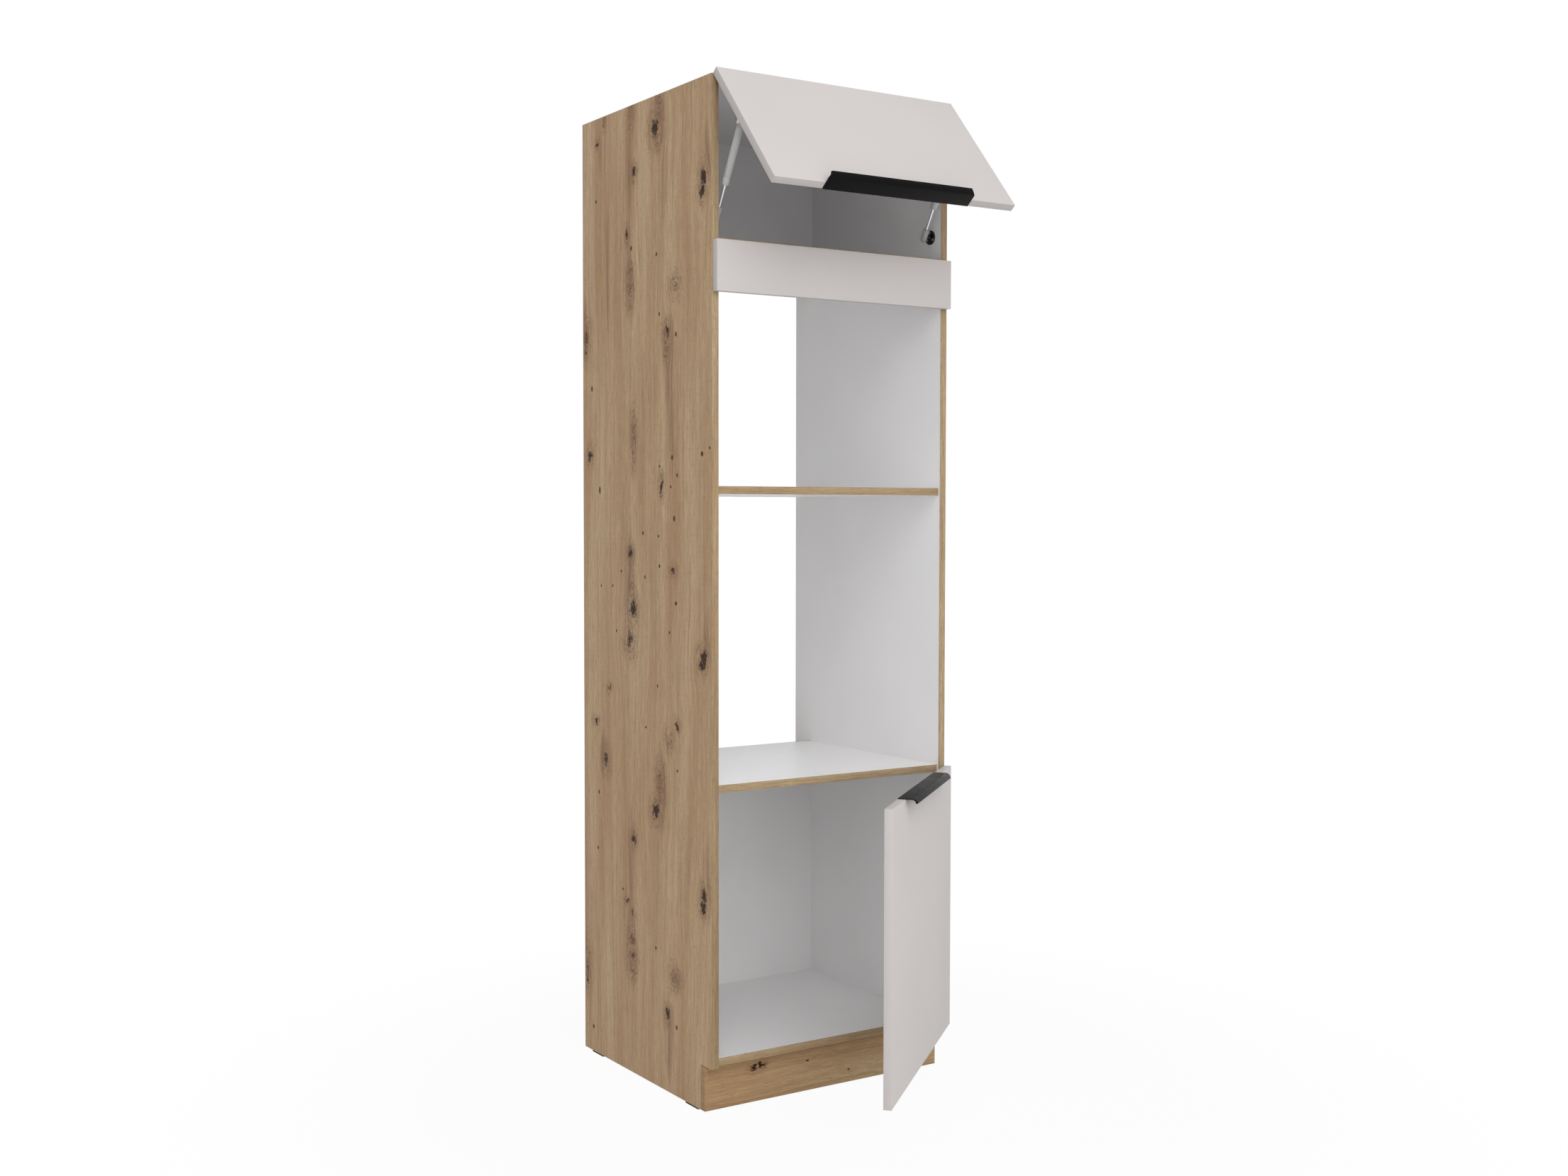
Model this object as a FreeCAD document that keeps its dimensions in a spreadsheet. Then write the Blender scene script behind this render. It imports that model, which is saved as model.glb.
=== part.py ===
import FreeCAD, Part
import Sketcher
import math
import os
import re

# Tall appliance housing cabinet: open lower door, two open niches, a fixed fascia and a lift-up top flap.
# Frame: X across, Y into the cabinet, Z up. The origin is on the floor, mid-width, in the plinth's front plane.
# The door and the flap stand open as they do at rest; every front piece is drawn closed about its own hinge line.

SIZES = {
    # carcass
    "cabinet_width": 600.0,
    "board_thickness": 16.0,
    "side_height": 2096.0,
    "edge_band": 1.0,
    "board_setback": 6.0,
    "interior_depth": 485.0,
    "back_thickness": 3.0,
    "rear_room": 65.0,
    "back_groove_depth": 6.0,
    "back_groove_play": 0.2,
    "glide_height": 4.0,
    "notch_height": 94.0,
    "plinth_setback": 28.0,
    "plinth_play": 1.0,
    "bottom_rise": 97.0,
    "oven_niche_height": 589.5,
    "microwave_niche_height": 480.0,
    "top_deck_drop": 338.0,
    "top_drop": 2.0,
    # fronts
    "front_thickness": 16.0,
    "front_side_reveal": 2.0,
    "front_gap": 1.0,
    "door_low_reveal": 1.5,
    "door_high_reveal": 2.5,
    "fascia_height": 103.0,
    "fascia_overlap": 10.0,
    "flap_low_reveal": 3.0,
    "flap_high_reveal": 1.0,
    "door_rest_angle": 40.0,
    "flap_rest_angle": 40.0,
    # edge handles
    "handle_length": 361.0,
    "handle_thickness": 1.8,
    "handle_flat": 27.0,
    "handle_outer_radius": 12.0,
    "handle_turn_angle": 80.0,
    "handle_lip_thickness": 4.0,
    "handle_corner_width": 8.0,
    "handle_corner_depth": 10.0,
    # floor glides
    "glide_length": 52.0,
    "glide_width": 13.0,
    "glide_corner": 3.0,
    "glide_edge": 1.0,
    "glide_front": 57.0,
    "glide_rear": 31.0,
    # dowels and cam fittings
    "dowel_diameter": 8.0,
    "dowel_length": 30.0,
    "dowel_side_depth": 11.0,
    "dowel_inset": 40.0,
    "bore_play": 0.1,
    "cam_inset": 72.0,
    "cam_diameter": 15.0,
    "cam_depth": 12.0,
    "cam_edge": 24.0,
    "cam_bolt_diameter": 6.0,
    "cam_bolt_side_depth": 10.0,
    "cam_slot_width": 2.0,
    "cam_slot_depth": 3.0,
    # fixing angles
    "angle_thickness": 2.0,
    "plinth_angle_leg": 26.0,
    "plinth_angle_width": 40.0,
    "plinth_angle_inset": 70.0,
    "fascia_angle_leg": 22.0,
    "fascia_angle_height": 40.0,
    "fascia_angle_rise": 40.0,
    "wall_angle_leg": 28.0,
    "wall_angle_height": 36.0,
    "wall_angle_drop": 60.0,
    "wall_hole_diameter": 6.6,
    "angle_hole_diameter": 4.4,
    "angle_hole_share": 0.6,
    "wall_hole_share": 0.55,
    # concealed hinges
    "flap_hinge_inset": 96.0,
    "door_hinge_share": 0.1108,
    "hinge_cup_diameter": 35.0,
    "hinge_cup_depth": 11.0,
    "hinge_cup_wall": 1.2,
    "hinge_cup_centre": 22.0,
    "hinge_flange_thickness": 1.2,
    "hinge_flange_length": 62.0,
    "hinge_flange_depth": 22.0,
    "hinge_flange_shift": 5.0,
    "hinge_flange_corner": 6.0,
    "hinge_bore_play": 0.1,
    "hinge_bore_extra": 0.5,
    "hinge_pin_across": 19.0,
    "hinge_pin_below": 6.5,
    "hinge_pin_diameter": 3.0,
    "hinge_pin_play": 0.35,
    "hinge_link_length": 22.8,
    "hinge_link_angle": 15.3,
    "hinge_link_width": 8.0,
    "hinge_link_thickness": 4.0,
    "hinge_link_eye": 3.0,
    "hinge_follow": 0.4,
    "hinge_arm_foot": 20.0,
    "hinge_arm_height": 12.4,
    "hinge_arm_nose": 1.8,
    "hinge_arm_length": 62.0,
    "hinge_arm_inside": 13.0,
    "hinge_arm_sheet": 1.2,
    "hinge_arm_nose_slope": 5.0,
    "hinge_arm_nose_length": 14.0,
    "hinge_plate_play": 0.4,
    "hinge_plate_start": 27.0,
    "hinge_plate_length": 22.0,
    "hinge_plate_span": 52.0,
    "hinge_plate_corner": 5.0,
    "hinge_rib_start": 20.0,
    "hinge_rib_length": 40.0,
    "hinge_rib_height": 6.0,
    "hinge_rib_play": 0.2,
    "hinge_screw_spacing": 32.0,
    "hinge_screw_diameter": 5.0,
    # gas struts
    "strut_inset": 18.0,
    "strut_low_depth": 36.0,
    "strut_low_drop": 271.4,
    "strut_high_drop": 112.0,
    "strut_high_stand": 18.0,
    "strut_ball_diameter": 10.0,
    "strut_ball_play": 0.2,
    "strut_neck_diameter": 5.0,
    "strut_socket_width": 14.0,
    "strut_socket_above": 16.7,
    "strut_socket_below": 11.3,
    "strut_tube_diameter": 15.0,
    "strut_tube_length": 117.4,
    "strut_tube_wall": 1.2,
    "strut_cap_length": 16.0,
    "strut_cap_groove": 0.8,
    "strut_rod_diameter": 6.0,
    "strut_rod_length": 116.0,
    "strut_rod_play": 0.3,
    "strut_piston_length": 8.0,
    "strut_base_diameter": 31.0,
    "strut_base_thickness": 3.0,
    "strut_base_chamfer": 1.0,
    "strut_stud_diameter": 8.0,
    "strut_stud_play": 0.4,
    "strut_ear_thickness": 2.0,
    "strut_ear_gap": 1.4,
    "strut_ear_width": 20.0,
    "strut_foot_length": 44.0,
    "strut_foot_width": 26.0,
}

# Places and sizes that follow from the ones above, as formulas of the same names.
PLACES = {
    "front_y": "-plinth_setback",
    "side_depth": "interior_depth + back_thickness + rear_room",
    "back_y": "front_y + side_depth",
    "half_width": "cabinet_width / 2",
    "inner_x": "half_width - board_thickness",
    "inner_width": "cabinet_width - 2 * board_thickness",
    "notch_depth": "plinth_setback + board_thickness",
    "board_y": "front_y + board_setback",
    "board_depth": "interior_depth - board_setback - edge_band",
    "panel_y": "front_y + interior_depth",
    "bottom_z": "glide_height + bottom_rise",
    "side_top_z": "glide_height + side_height",
    "top_deck_z": "side_top_z - top_deck_drop",
    "middle_shelf_z": "top_deck_z - microwave_niche_height - board_thickness",
    "oven_deck_z": "middle_shelf_z - oven_niche_height - board_thickness",
    "top_panel_z": "side_top_z - top_drop - board_thickness",
    "plinth_height": "notch_height - plinth_play",
    "groove_width": "back_thickness + back_groove_play",
    "back_width": "inner_width + 2 * back_groove_depth",
    "lower_back_height": "oven_deck_z + board_thickness - bottom_z",
    "upper_back_height": "top_panel_z + board_thickness - top_deck_z",
    "front_width": "cabinet_width - 2 * front_side_reveal",
    "half_front": "front_width / 2",
    "hinge_y": "front_y - front_gap",
    "door_z": "bottom_z + door_low_reveal",
    "door_height": "oven_deck_z + board_thickness - door_high_reveal - door_z",
    "door_hinge_least": "board_thickness + hinge_plate_span / 2",
    "door_hinge_inset": "door_hinge_least + (door_height - 2 * door_hinge_least) * door_hinge_share",
    "fascia_top_z": "top_deck_z + fascia_overlap",
    "fascia_z": "fascia_top_z - fascia_height",
    "flap_z": "side_top_z - flap_high_reveal",
    "flap_height": "flap_z - fascia_top_z - flap_low_reveal",
    "dowel_board_depth": "dowel_length - dowel_side_depth",
    "cam_bolt_board_depth": "cam_edge",
    "lip_tip_y": "handle_flat + handle_outer_radius * sin(handle_turn_angle)",
    "lip_tip_z": "handle_thickness - handle_outer_radius * (1 - cos(handle_turn_angle))",
    "lip_inner_y": "handle_flat + (handle_outer_radius - handle_lip_thickness) * sin(handle_turn_angle)",
    "lip_inner_z": "handle_thickness - handle_outer_radius + (handle_outer_radius - handle_lip_thickness)"
                   " * cos(handle_turn_angle)",
    "lip_run": "lip_inner_y - handle_flat",
    "lip_inner_radius": "(lip_run * lip_run + lip_inner_z * lip_inner_z) / (-2 * lip_inner_z)",
    "hinge_cup_radius": "hinge_cup_diameter / 2",
    "hinge_mouth_radius": "hinge_cup_radius - hinge_cup_wall",
    "hinge_pin_offset": "hinge_cup_centre - hinge_pin_across",
    "hinge_pin_length": "2 * (sqrt(hinge_mouth_radius * hinge_mouth_radius - hinge_pin_offset * hinge_pin_offset)"
                        " - hinge_pin_play)",
    "door_overlay": "half_front - inner_x",
    "flap_overlay": "flap_z - top_panel_z",
    "door_link_turn": "(1 - hinge_follow) * door_rest_angle - hinge_link_angle",
    "flap_link_turn": "(1 - hinge_follow) * flap_rest_angle - hinge_link_angle",
    "strut_x": "inner_x - strut_inset",
    "strut_low_y": "front_y + strut_low_depth",
    "strut_low_z": "flap_z - strut_low_drop",
    "strut_high_y": "hinge_y + strut_high_stand * cos(flap_rest_angle) - strut_high_drop * sin(flap_rest_angle)",
    "strut_high_z": "flap_z - strut_high_stand * sin(flap_rest_angle) - strut_high_drop * cos(flap_rest_angle)",
    "strut_run": "strut_low_y - strut_high_y",
    "strut_climb": "strut_high_z - strut_low_z",
    "strut_length": "sqrt(strut_run * strut_run + strut_climb * strut_climb)",
    "strut_lean": "asin(strut_run / strut_length)",
    "strut_socket_radius": "strut_socket_width / 2",
    "strut_ball_radius": "strut_ball_diameter / 2",
    "strut_tube_radius": "strut_tube_diameter / 2",
    "strut_bore_radius": "strut_tube_radius - strut_tube_wall",
    "strut_rod_radius": "strut_rod_diameter / 2",
    "strut_tube_end": "strut_socket_above + strut_tube_length",
    "strut_stud_x": "strut_x + strut_socket_radius + strut_stud_play",
    "strut_ear_x": "strut_x + strut_socket_radius + strut_ear_gap",
}

doc = FreeCAD.newDocument("appliance_housing_cabinet")
sizes = doc.addObject("Spreadsheet::Sheet", "Sizes")
places = doc.addObject("Spreadsheet::Sheet", "Places")
WORD = re.compile(r"[a-z][a-z0-9]*(?:_[a-z0-9]+)+")


def named(text, here=False):
    def swap(match):
        word = match.group(0)
        if word in SIZES:
            return "Sizes." + word
        if word in PLACES and not here:
            return "Places." + word
        return word
    return WORD.sub(swap, text)


for row, (name, size) in enumerate(SIZES.items(), 1):
    sizes.set("A%d" % row, name)
    sizes.set("B%d" % row, str(size))
    sizes.setAlias("B%d" % row, name)
for row, (name, formula) in enumerate(PLACES.items(), 1):
    places.set("A%d" % row, name)
    places.setAlias("B%d" % row, name)
doc.recompute()
for row, (name, formula) in enumerate(PLACES.items(), 1):
    places.set("B%d" % row, "=" + named(formula, here=True))
doc.recompute()

known = {}


def value(text):
    # the present value of a formula of named sizes
    if text not in known:
        found = sizes.evalExpression(named(text))
        known[text] = float(getattr(found, "Value", found))
    return known[text]


def bind(thing, **formulas):
    for key, text in formulas.items():
        thing.setExpression(key.replace("__", "."), named(text))


def put(thing, x="0", y="0", z="0", axis=None, angle=None):
    # binds a placement; a turn keeps its axis and takes its angle from the sheet
    if axis is not None:
        thing.Placement = FreeCAD.Placement(FreeCAD.Vector(), FreeCAD.Rotation(FreeCAD.Vector(*axis), 1))
        thing.setExpression("Placement.Rotation.Angle", named(angle))
    for key, text in zip("xyz", (x, y, z)):
        if text != "0":
            thing.setExpression("Placement.Base." + key, named(text))
    return thing


def box(label, length, width, height, x="0", y="0", z="0"):
    made = doc.addObject("Part::Box", label)
    bind(made, Length=length, Width=width, Height=height)
    return put(made, x, y, z)


def cylinder(label, radius, height, x="0", y="0", z="0", axis=None, angle=None):
    made = doc.addObject("Part::Cylinder", label)
    bind(made, Radius=radius, Height=height)
    return put(made, x, y, z, axis, angle)


def ball(label, radius, x="0", y="0", z="0"):
    made = doc.addObject("Part::Sphere", label)
    bind(made, Radius=radius)
    return put(made, x, y, z)


def group(label, members, x="0", y="0", z="0", axis=None, angle=None):
    made = doc.addObject("Part::Compound", label)
    made.Links = members
    return put(made, x, y, z, axis, angle)


def cut(label, base, tools):
    made = doc.addObject("Part::Cut", label)
    made.Base = base
    made.Tool = tools[0] if len(tools) == 1 else group(label + "_tools", tools)
    return made


def fuse(label, members):
    made = doc.addObject("Part::MultiFuse", label)
    made.Shapes = members
    return made


def body(label):
    made = doc.addObject("PartDesign::Body", label)
    made.Label = label
    return made


def sketch(owner, label, role, lift=None):
    drawn = owner.newObject("Sketcher::SketchObject", label)
    plane = [f for f in owner.Origin.OriginFeatures if f.Role == role][0]
    drawn.AttachmentSupport = [(plane, "")]
    drawn.MapMode = "FlatFace"
    if lift:
        bind(drawn, AttachmentOffset__Base__z=lift)
    return drawn


def hold(drawn, kind, first, text):
    # one coordinate of a point, measured from the sketch's origin
    size = value(text)
    if abs(size) < 1e-9 and not re.search("[a-z]", text):
        drawn.addConstraint(Sketcher.Constraint("PointOnObject", first[0], first[1], -2 if kind == "X" else -1))
        return
    ends = (-1, 1) + first if size >= 0 else first + (-1, 1)
    index = drawn.addConstraint(Sketcher.Constraint("Distance" + kind, *ends, abs(size)))
    drawn.setExpression("Constraints[%d]" % index, named(text if size >= 0 else "-(" + text + ")"))


def outline(owner, label, role, points, lift=None):
    # a closed outline; a point (u, v, radius, side) starts an arc of that radius to the next point
    drawn = sketch(owner, label, role, lift)
    spots = [FreeCAD.Vector(value(p[0]), value(p[1]), 0) for p in points]
    count = len(points)
    for i, point in enumerate(points):
        a, b = spots[i], spots[(i + 1) % count]
        if len(point) == 2:
            drawn.addGeometry(Part.LineSegment(a, b), False)
            continue
        radius, side = value(point[2]), point[3]
        chord = b - a
        half = chord.Length / 2
        across = FreeCAD.Vector(-chord.y, chord.x, 0).normalize() * side
        centre = a + chord * 0.5 + across * (radius * radius - half * half) ** 0.5
        middle = centre - across * radius
        first, last = (a, b) if (middle - a).cross(b - middle).z > 0 else (b, a)
        turns = [math.atan2(spot.y - centre.y, spot.x - centre.x) for spot in (first, last)]
        if turns[1] < turns[0]:
            turns[1] += 2 * math.pi
        circle = Part.Circle(centre, FreeCAD.Vector(0, 0, 1), radius)
        drawn.addGeometry(Part.ArcOfCircle(circle, *turns), False)
    # an arc is stored anticlockwise, so its start may be the outline's next point
    ends = []
    for i in range(count):
        made = drawn.Geometry[i]
        forward = made.StartPoint.distanceToPoint(spots[i]) < made.EndPoint.distanceToPoint(spots[i])
        ends.append((1, 2) if forward else (2, 1))
    for i in range(count):
        j = (i + 1) % count
        drawn.addConstraint(Sketcher.Constraint("Coincident", i, ends[i][1], j, ends[j][0]))
    for i, point in enumerate(points):
        hold(drawn, "X", (i, ends[i][0]), point[0])
        hold(drawn, "Y", (i, ends[i][0]), point[1])
        if len(point) > 2:
            index = drawn.addConstraint(Sketcher.Constraint("Radius", i, value(point[2])))
            drawn.setExpression("Constraints[%d]" % index, named(point[2]))
    return drawn


def rounds(owner, label, role, circles, lift=None):
    # circles given as (u, v, radius)
    drawn = sketch(owner, label, role, lift)
    for i, (u, v, radius) in enumerate(circles):
        centre = FreeCAD.Vector(value(u), value(v), 0)
        drawn.addGeometry(Part.Circle(centre, FreeCAD.Vector(0, 0, 1), value(radius)), False)
        hold(drawn, "X", (i, 3), u)
        hold(drawn, "Y", (i, 3), v)
        index = drawn.addConstraint(Sketcher.Constraint("Radius", i, value(radius)))
        drawn.setExpression("Constraints[%d]" % index, named(radius))
    return drawn


def pad(owner, label, drawn, length, back=False):
    made = owner.newObject("PartDesign::Pad", label)
    made.Profile = drawn
    made.Reversed = back
    bind(made, Length=length)
    return made


def pocket(owner, label, drawn, length, back=False):
    doc.recompute()
    before = owner.Shape.Volume
    made = owner.newObject("PartDesign::Pocket", label)
    made.Profile = drawn
    made.Reversed = back
    bind(made, Length=length)
    doc.recompute()
    if not owner.Shape.Volume < before - 1e-6:
        raise RuntimeError(label + " removes nothing")
    return made


def spin(owner, label, drawn, axis="V_Axis"):
    made = owner.newObject("PartDesign::Revolution", label)
    made.Profile = drawn
    made.ReferenceAxis = (drawn, [axis])
    made.Angle = 360
    return made


def rounded(half_u, half_v, corner, u="0", v="0"):
    # a rectangle with rounded corners about the point (u, v)
    def at(su, sv, text_u, text_v):
        return "%s %s (%s)" % (u, su, text_u), "%s %s (%s)" % (v, sv, text_v)
    cu, cv = half_u + " - " + corner, half_v + " - " + corner
    return [
        at("-", "-", cu, half_v), at("+", "-", cu, half_v) + (corner, 1),
        at("+", "-", half_u, cv), at("+", "+", half_u, cv) + (corner, 1),
        at("+", "+", cu, half_v), at("-", "+", cu, half_v) + (corner, 1),
        at("-", "+", half_u, cv), at("-", "-", half_u, cv) + (corner, 1),
    ]


nodes = []


def node(thing, label=None):
    if label:
        thing.Label = label
    nodes.append(thing)
    return thing


DOOR_FRAME = dict(x="half_front", y="hinge_y", axis=(0, 0, 1), angle="door_rest_angle")
FLAP_FRAME = dict(y="hinge_y", z="flap_z", axis=(-1, 0, 0), angle="flap_rest_angle")

# carcass boards joined to the sides: underside heights
BOARDS = {
    "top_panel": "top_panel_z",
    "top_deck": "top_deck_z",
    "middle_shelf": "middle_shelf_z",
    "oven_deck": "oven_deck_z",
    "bottom_board": "bottom_z",
}
FITTING_ROWS = {
    "dowel": ("front_y + dowel_inset", "front_y + interior_depth - dowel_inset"),
    "cam": ("front_y + cam_inset", "front_y + interior_depth - cam_inset"),
}


def side_panel(label, hand):
    # outline with the toe-kick notch, drawn in the side's own plane and padded across
    owner = body(label)
    top, low, notch = "side_top_z", "glide_height", "glide_height + notch_height"
    front, rear = "front_y + edge_band", "back_y"
    drawn = outline(owner, label + "_outline", "YZ_Plane", [
        ("front_y + notch_depth", low),
        (rear, low),
        (rear, top),
        (front, top),
        (front, notch),
        ("front_y + notch_depth", notch),
    ], lift="inner_x" if hand > 0 else "-half_width")
    pad(owner, label + "_board", drawn, "board_thickness")
    # stopped grooves for the two back panels
    inner = "inner_x" if hand > 0 else "-inner_x"
    for part, low_z, height in (
        ("lower", "bottom_z", "lower_back_height"),
        ("upper", "top_deck_z", "upper_back_height"),
    ):
        groove = outline(owner, label + "_%s_groove_line" % part, "YZ_Plane", [
            ("panel_y", low_z),
            ("panel_y + groove_width", low_z),
            ("panel_y + groove_width", "%s + %s" % (low_z, height)),
            ("panel_y", "%s + %s" % (low_z, height)),
        ], lift=inner)
        pocket(owner, label + "_%s_groove" % part, groove, "back_groove_depth", hand > 0)
    # blind bores for the dowels and the cam bolts, in the middle of each board's end
    bores = []
    bolts = []
    for low_z in BOARDS.values():
        middle = low_z + " + board_thickness / 2"
        for y in FITTING_ROWS["dowel"]:
            bores.append((y, middle, "dowel_diameter / 2 + bore_play"))
        for y in FITTING_ROWS["cam"]:
            bolts.append((y, middle, "cam_bolt_diameter / 2 + bore_play"))
    drawn = rounds(owner, label + "_dowel_line", "YZ_Plane", bores, lift=inner)
    pocket(owner, label + "_dowel_bores", drawn, "dowel_side_depth + bore_play", hand > 0)
    drawn = rounds(owner, label + "_bolt_line", "YZ_Plane", bolts, lift=inner)
    pocket(owner, label + "_bolt_bores", drawn, "cam_bolt_side_depth + bore_play", hand > 0)
    return node(owner)


side_panel("side_panel_left", -1)
side_panel("side_panel_right", 1)

bands = []
for label, x in (("band_left", "-half_width"), ("band_right", "inner_x")):
    bands.append(box(label, "board_thickness", "edge_band", "side_height - notch_height",
                     x, "front_y", "glide_height + notch_height"))
node(group("side_edge_bands", bands))

dowels, bolts, cams, bands = [], [], [], []
for board, low_z in BOARDS.items():
    middle = low_z + " + board_thickness / 2"
    plain = box(board + "_blank", "inner_width", "board_depth", "board_thickness",
                "-inner_x", "board_y + edge_band", low_z)
    tools = []
    # cams are turned from below, and those of the top panel from above, where nobody sees them
    if board == "top_panel":
        cam_z = low_z + " + board_thickness - cam_depth"
        seat_z, jaw_z = cam_z + " - bore_play", cam_z
        slot_z = low_z + " + board_thickness - cam_slot_depth"
    else:
        cam_z, seat_z, slot_z = low_z, low_z, low_z
        jaw_z = middle + " - cam_bolt_diameter / 2 - bore_play"
    for hand, sign in (("left", "-"), ("right", "")):
        turn = "90" if sign else "-90"
        for i, y in enumerate(FITTING_ROWS["dowel"]):
            tag = "%s_%s_%d" % (board, hand, i)
            tools.append(cylinder(tag + "_bore", "dowel_diameter / 2 + bore_play", "dowel_board_depth + bore_play",
                                  sign + "inner_x", y, middle, (0, 1, 0), turn))
            outer = sign + "(inner_x + dowel_side_depth)"
            dowels.append(cylinder(tag + "_dowel", "dowel_diameter / 2", "dowel_length",
                                   outer, y, middle, (0, 1, 0), turn))
        for i, y in enumerate(FITTING_ROWS["cam"]):
            tag = "%s_%s_%d" % (board, hand, i)
            tools.append(cylinder(tag + "_channel", "cam_bolt_diameter / 2 + bore_play", "cam_bolt_board_depth",
                                  sign + "inner_x", y, middle, (0, 1, 0), turn))
            seat = sign + "(inner_x - cam_edge)"
            tools.append(cylinder(tag + "_seat", "cam_diameter / 2 + bore_play", "cam_depth + bore_play",
                                  seat, y, seat_z))
            outer = sign + "(inner_x + cam_bolt_side_depth)"
            bolts.append(cylinder(tag + "_bolt", "cam_bolt_diameter / 2",
                                  "cam_bolt_side_depth + cam_bolt_board_depth", outer, y, middle, (0, 1, 0), turn))
            disc = cylinder(tag + "_disc", "cam_diameter / 2", "cam_depth", seat, y, cam_z)
            # the jaw is open towards the bolt and towards the inside of the board
            jaw = box(tag + "_jaw", "cam_diameter", "cam_bolt_diameter + 2 * bore_play",
                      "cam_bolt_diameter / 2 + bore_play + cam_depth - board_thickness / 2",
                      seat + (" - bore_play" if sign == "" else " - cam_diameter + bore_play"),
                      y + " - cam_bolt_diameter / 2 - bore_play", jaw_z)
            slot = box(tag + "_slot", "cam_diameter * 2", "cam_slot_width", "cam_slot_depth",
                       seat + " - cam_diameter", y + " - cam_slot_width / 2", slot_z)
            cams.append(cut(tag + "_cam", disc, [jaw, slot]))
    node(cut(board, plain, tools))
    bands.append(box(board + "_band", "inner_width", "edge_band", "board_thickness", "-inner_x", "board_y", low_z))
node(group("board_edge_bands", bands))
node(group("wooden_dowels", dowels))
node(group("cam_bolts", bolts))
node(group("cam_locks", cams))

# thin back panels, held in the sides' grooves behind the boards
node(box("back_panel_lower", "back_width", "back_thickness", "lower_back_height",
         "-back_width / 2", "panel_y", "bottom_z"))
node(box("back_panel_upper", "back_width", "back_thickness", "upper_back_height",
         "-back_width / 2", "panel_y", "top_deck_z"))

# plinth board across the notches, and the fixed fascia above the microwave niche
node(box("plinth_board", "cabinet_width", "board_thickness", "plinth_height", "-half_width", "0", "glide_height"))
node(box("fascia", "front_width", "front_thickness", "fascia_height", "-half_front",
         "hinge_y - front_thickness", "fascia_z"))


def glide(label):
    owner = body(label)
    drawn = outline(owner, label + "_line", "XY_Plane", rounded("glide_width / 2", "glide_length / 2", "glide_corner"))
    pad(owner, label + "_pad", drawn, "glide_height")
    return owner


glide_master = glide("glide_form")
glides = []
for hand, sign in (("left", "-"), ("right", "")):
    across = sign + "(half_width - glide_edge - glide_width / 2)"
    for end, along in (
        ("front", "front_y + glide_front + glide_length / 2"),
        ("rear", "back_y - glide_rear - glide_length / 2"),
    ):
        glides.append(group("glide_%s_%s" % (hand, end), [glide_master], across, along))
node(group("floor_glides", glides))


def angle_form(label, leg_a, leg_b, width, holes_a, holes_b):
    # sheet angle: leg a along +X, leg b along +Y, height along +Z, with holes through each leg
    owner = body(label)
    drawn = outline(owner, label + "_line", "XY_Plane", [
        ("0", "0"), (leg_a, "0"), (leg_a, "angle_thickness"), ("angle_thickness", "angle_thickness"),
        ("angle_thickness", leg_b), ("0", leg_b),
    ])
    pad(owner, label + "_pad", drawn, width)
    if holes_a:
        drawn = rounds(owner, label + "_holes_a", "XZ_Plane", holes_a)
        pocket(owner, label + "_cut_a", drawn, "angle_thickness * 2")
    if holes_b:
        drawn = rounds(owner, label + "_holes_b", "YZ_Plane", holes_b)
        pocket(owner, label + "_cut_b", drawn, "angle_thickness * 2", True)
    return owner


# plinth angles: one leg on the plinth's back, the other under the bottom board
hole = "angle_hole_diameter / 2"
plinth_angle = angle_form("plinth_angle_form", "plinth_angle_leg", "plinth_angle_leg", "plinth_angle_width", [], [])
angles = []
for hand, x in (("left", "-inner_x + plinth_angle_inset"), ("right", "inner_x - plinth_angle_inset - plinth_angle_width")):
    angles.append(group("plinth_angle_" + hand, [plinth_angle], x, "board_thickness", "bottom_z", (0, 1, 0), "90"))
node(group("plinth_brackets", angles))

# fascia angles: one leg on the side's inner face, the other on the fascia's back
fascia_angle = angle_form("fascia_angle_form", "fascia_angle_leg", "fascia_angle_leg", "fascia_angle_height",
                          [("fascia_angle_leg * angle_hole_share", "fascia_angle_height / 2", hole)],
                          [("fascia_angle_leg * angle_hole_share", "fascia_angle_height / 2", hole)])
angles = [
    group("fascia_angle_left", [fascia_angle], "-inner_x", "hinge_y", "fascia_z + fascia_angle_rise"),
    group("fascia_angle_right", [group("fascia_angle_turn", [fascia_angle], z="fascia_angle_height",
                                       axis=(0, 1, 0), angle="180")],
          "inner_x", "hinge_y", "fascia_z + fascia_angle_rise"),
]
node(group("fascia_brackets", angles))

# wall angles behind the upper back panel: one leg on the side, the other in the wall plane
wall_angle = angle_form("wall_angle_form", "wall_angle_leg", "wall_angle_leg", "wall_angle_height",
                        [("wall_angle_leg * wall_hole_share", "wall_angle_height / 2", "wall_hole_diameter / 2")],
                        [("wall_angle_leg * angle_hole_share", "wall_angle_height / 2", hole)])
angles = [
    group("wall_angle_left", [group("wall_angle_turn_left", [wall_angle], axis=(1, 0, 0), angle="180")],
          "-inner_x", "back_y", "side_top_z - wall_angle_drop + wall_angle_height"),
    group("wall_angle_right", [group("wall_angle_turn_right", [wall_angle], axis=(0, 0, 1), angle="180")],
          "inner_x", "back_y", "side_top_z - wall_angle_drop"),
]
node(group("wall_brackets", angles))

# door and flap panels, drawn closed: x from the hinge edge, y outwards, z up
def front_panel(label, x_low, x_high, z_low, z_high, cups, frame):
    owner = body(label)
    drawn = outline(owner, label + "_outline", "XZ_Plane", [
        (x_low, z_low), (x_high, z_low), (x_high, z_high), (x_low, z_high),
    ])
    pad(owner, label + "_board", drawn, "front_thickness")
    drawn = rounds(owner, label + "_cup_line", "XZ_Plane", cups)
    pocket(owner, label + "_cup_bores", drawn, "hinge_cup_depth + hinge_bore_extra", True)
    put(owner, **frame)
    return node(owner)


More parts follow.
